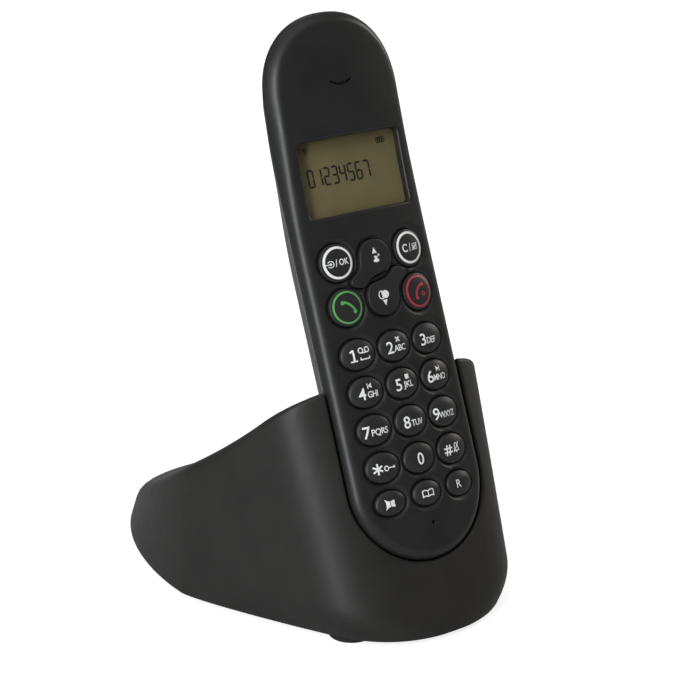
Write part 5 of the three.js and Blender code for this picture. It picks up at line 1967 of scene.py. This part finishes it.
def bottom_cover():
    """The plate under the base, with the well that the cables come out of."""
    loop = resample(offset_loop(whole(half_outline(FOOT_HEIGHT + 1.0)), -(BASE_WALL + SEAM * 3.5)), count=300)
    bottom = COVER_BOTTOM
    steps = [(-0.5, bottom), (-0.15, bottom + 0.15), (0, bottom + 0.5), (0, COVER_TOP)]
    cover = tube("bottom_plate", [level(offset_loop(loop, grow), z) for grow, z in steps], base_to_row, WELD)
    x, y0, y1, wall = CABLE_WELL
    top = float(ridge(np.array(y1 + wall))) - BASE_WALL * 2 - SEAM - 3.7
    well = (-x - wall, x + wall, y0 - wall, y1 + wall, bottom + OVERLAP, top)
    cut(cover, blocks("well", base_to_row, well), "UNION")
    cut(cover, blocks("well_room", base_to_row, (-x, x, y0, y1, -FAR, top - wall)))
    across, half_width, low = SOCKET
    reach = half_width + SEAM
    for middle in (-across, across):
        room = (middle - reach, middle + reach, y0 - 12, y0 + 1, low - SEAM, BASE_BOARD)
        cut(cover, blocks("socket_room", base_to_row, room))
    posts, holes = Shape(), Shape()
    for place in BOARD_POSTS:
        posts.lathe([(2, bottom + 1), (2, BASE_BOARD - SEAM)], 24, upright(*place))
    sink, seat = SCREW_HEAD + SEAM, BASE_SCREW_SEAT
    steps = [(sink, -FAR), (sink, seat), (THREAD_BORE, seat), (THREAD_BORE, FAR)]
    for place in BASE_SCREWS:
        holes.lathe(steps, 32, upright(*place))
    cut(cover, posts.build("board_posts", base_to_row, FINE_WELD), "UNION")
    cut(cover, holes.build("holes", base_to_row, FINE_WELD))
    return finish_piece(cover, UNDERSIDE, "base", "bottom_cover", 38)


def small_pieces():
    receiver_felt()
    screws()
    feet()
    locate_button()
    charge_pins()
    contact_strips()
    bottom_cover()


# ---- The object ----

finish_cad_nodes()
finish_piece(front_cover(), CASE, "handset", "front_cover")
keypad()
display()
finish_piece(base_shell(), BASE_CASE, "base", "base_shell", 38)
handset_back()
small_pieces()


# ---- Floor and light ----

def seen_rays(tree, *kinds):
    """1 for any of these kinds of ray, and 0 for the rest."""
    rays = tree.nodes.new("ShaderNodeLightPath")
    found = rays.outputs[kinds[0]]
    for kind in kinds[1:]:
        either = tree.nodes.new("ShaderNodeMath")
        either.operation = "MAXIMUM"
        tree.links.new(found, either.inputs[0])
        tree.links.new(rays.outputs[kind], either.inputs[1])
        found = either.outputs[0]
    return found


VIEW_TURN = -math.radians(36.8)
FLOOR_GLOW = 0.8
GLOSSY_GLOW = 0.05


def floor_sheet():
    """A floor that turns up into a backdrop, square to the photograph's view."""
    half, front, back, radius, top = 3.0, -2.5, 2.2, 0.8, 2.6
    profile = [(front, 0), *arc((back - radius, radius), radius, -90, 0, 16), (back, top)]
    points = np.array([(x, y, z) for y, z in profile for x in (-half, half)])
    faces = [(2 * i, 2 * i + 1, 2 * i + 3, 2 * i + 2) for i in range(len(profile) - 1)]
    floor = mesh_object("floor", points, faces)
    floor.data.shade_smooth()
    floor.rotation_euler = (0, 0, VIEW_TURN)
    return floor


def scaled(tree, fac, by, plus=None):
    """fac times a number, with another value added where there is one."""
    node = tree.nodes.new("ShaderNodeMath")
    node.operation = "MULTIPLY_ADD" if plus else "MULTIPLY"
    node.inputs[1].default_value = by
    tree.links.new(fac, node.inputs[0])
    if plus:
        tree.links.new(plus, node.inputs[2])
    return node.outputs[0]


def pale_floor():
    """A plain pale floor, brightened for the camera and a little for reflections."""
    floor = floor_sheet()
    material, tree, shader = nodes_of("pale_floor")
    greys = [(0.3, (0.52, 0.52, 0.52)), (0.7, (0.54, 0.54, 0.54))]
    tree.links.new(ramp(tree, noise(tree, 400.0, 1.0), greys), shader.inputs["Base Color"])
    shader.inputs["Roughness"].default_value = 0.7
    shader.inputs["Specular IOR Level"].default_value = 0.0
    shader.inputs["Emission Color"].default_value = (1, 1, 1, 1)
    faint = scaled(tree, seen_rays(tree, "Is Glossy Ray"), GLOSSY_GLOW)
    glow = scaled(tree, seen_rays(tree, "Is Camera Ray", "Is Transmission Ray"), FLOOR_GLOW, faint)
    tree.links.new(glow, shader.inputs["Emission Strength"])
    floor.data.materials.append(material)
    floor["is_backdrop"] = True


def area_light(name, place, aim, size, power, colour=(1, 1, 1), size_y=None):
    data = bpy.data.lights.new(name, "AREA")
    data.shape = "RECTANGLE" if size_y else "SQUARE"
    data.size = size
    if size_y:
        data.size_y = size_y
    data.energy = power
    data.color = colour
    lamp = bpy.data.objects.new(name, data)
    lamp.location = place
    lamp.rotation_euler = (Vector(aim) - Vector(place)).to_track_quat("-Z", "Y").to_euler()
    bpy.context.collection.objects.link(lamp)


def world_light(strength):
    world = bpy.data.worlds.new("world")
    world.use_nodes = True
    tree = world.node_tree
    background = tree.nodes["Background"]
    background.inputs["Color"].default_value = (1, 1, 1, 1)
    shown = grey(tree, seen_rays(tree, "Is Camera Ray", "Is Transmission Ray"), strength, 1.0)
    tree.links.new(shown, background.inputs["Strength"])
    bpy.context.scene.world = world


def lamps():
    """Lamps are placed round the object's middle by the photograph's view: right, towards the camera, up."""
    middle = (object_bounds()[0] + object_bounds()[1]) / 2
    camera = bpy.context.scene.camera.matrix_world.to_3x3()
    right = camera.col[0].normalized()
    near = Vector((camera.col[2].x, camera.col[2].y, 0)).normalized()
    at = lambda r, n, u: middle + right * r + near * n + Vector((0, 0, u))
    area_light("key_light", at(-0.4, 0.9, 0.95), middle, 0.7, 3.2)
    area_light("edge_strip", at(-0.42, 0.88, 0.17), middle, 0.05, 11, (0.94, 0.97, 1.0), size_y=1.0)
    area_light("right_fill", at(1.0, -0.7, 0.5), middle, 0.6, 5, (1.0, 0.96, 0.9))
    area_light("back_fill", at(-0.5, -1.2, 0.8), middle, 0.9, 3)
    area_light("top_light", at(0.05, 0.1, 1.3), middle, 1.1, 3.5)


bpy.context.scene.view_settings.view_transform = "Standard"
pale_floor()
world_light(0.13)
lamps()
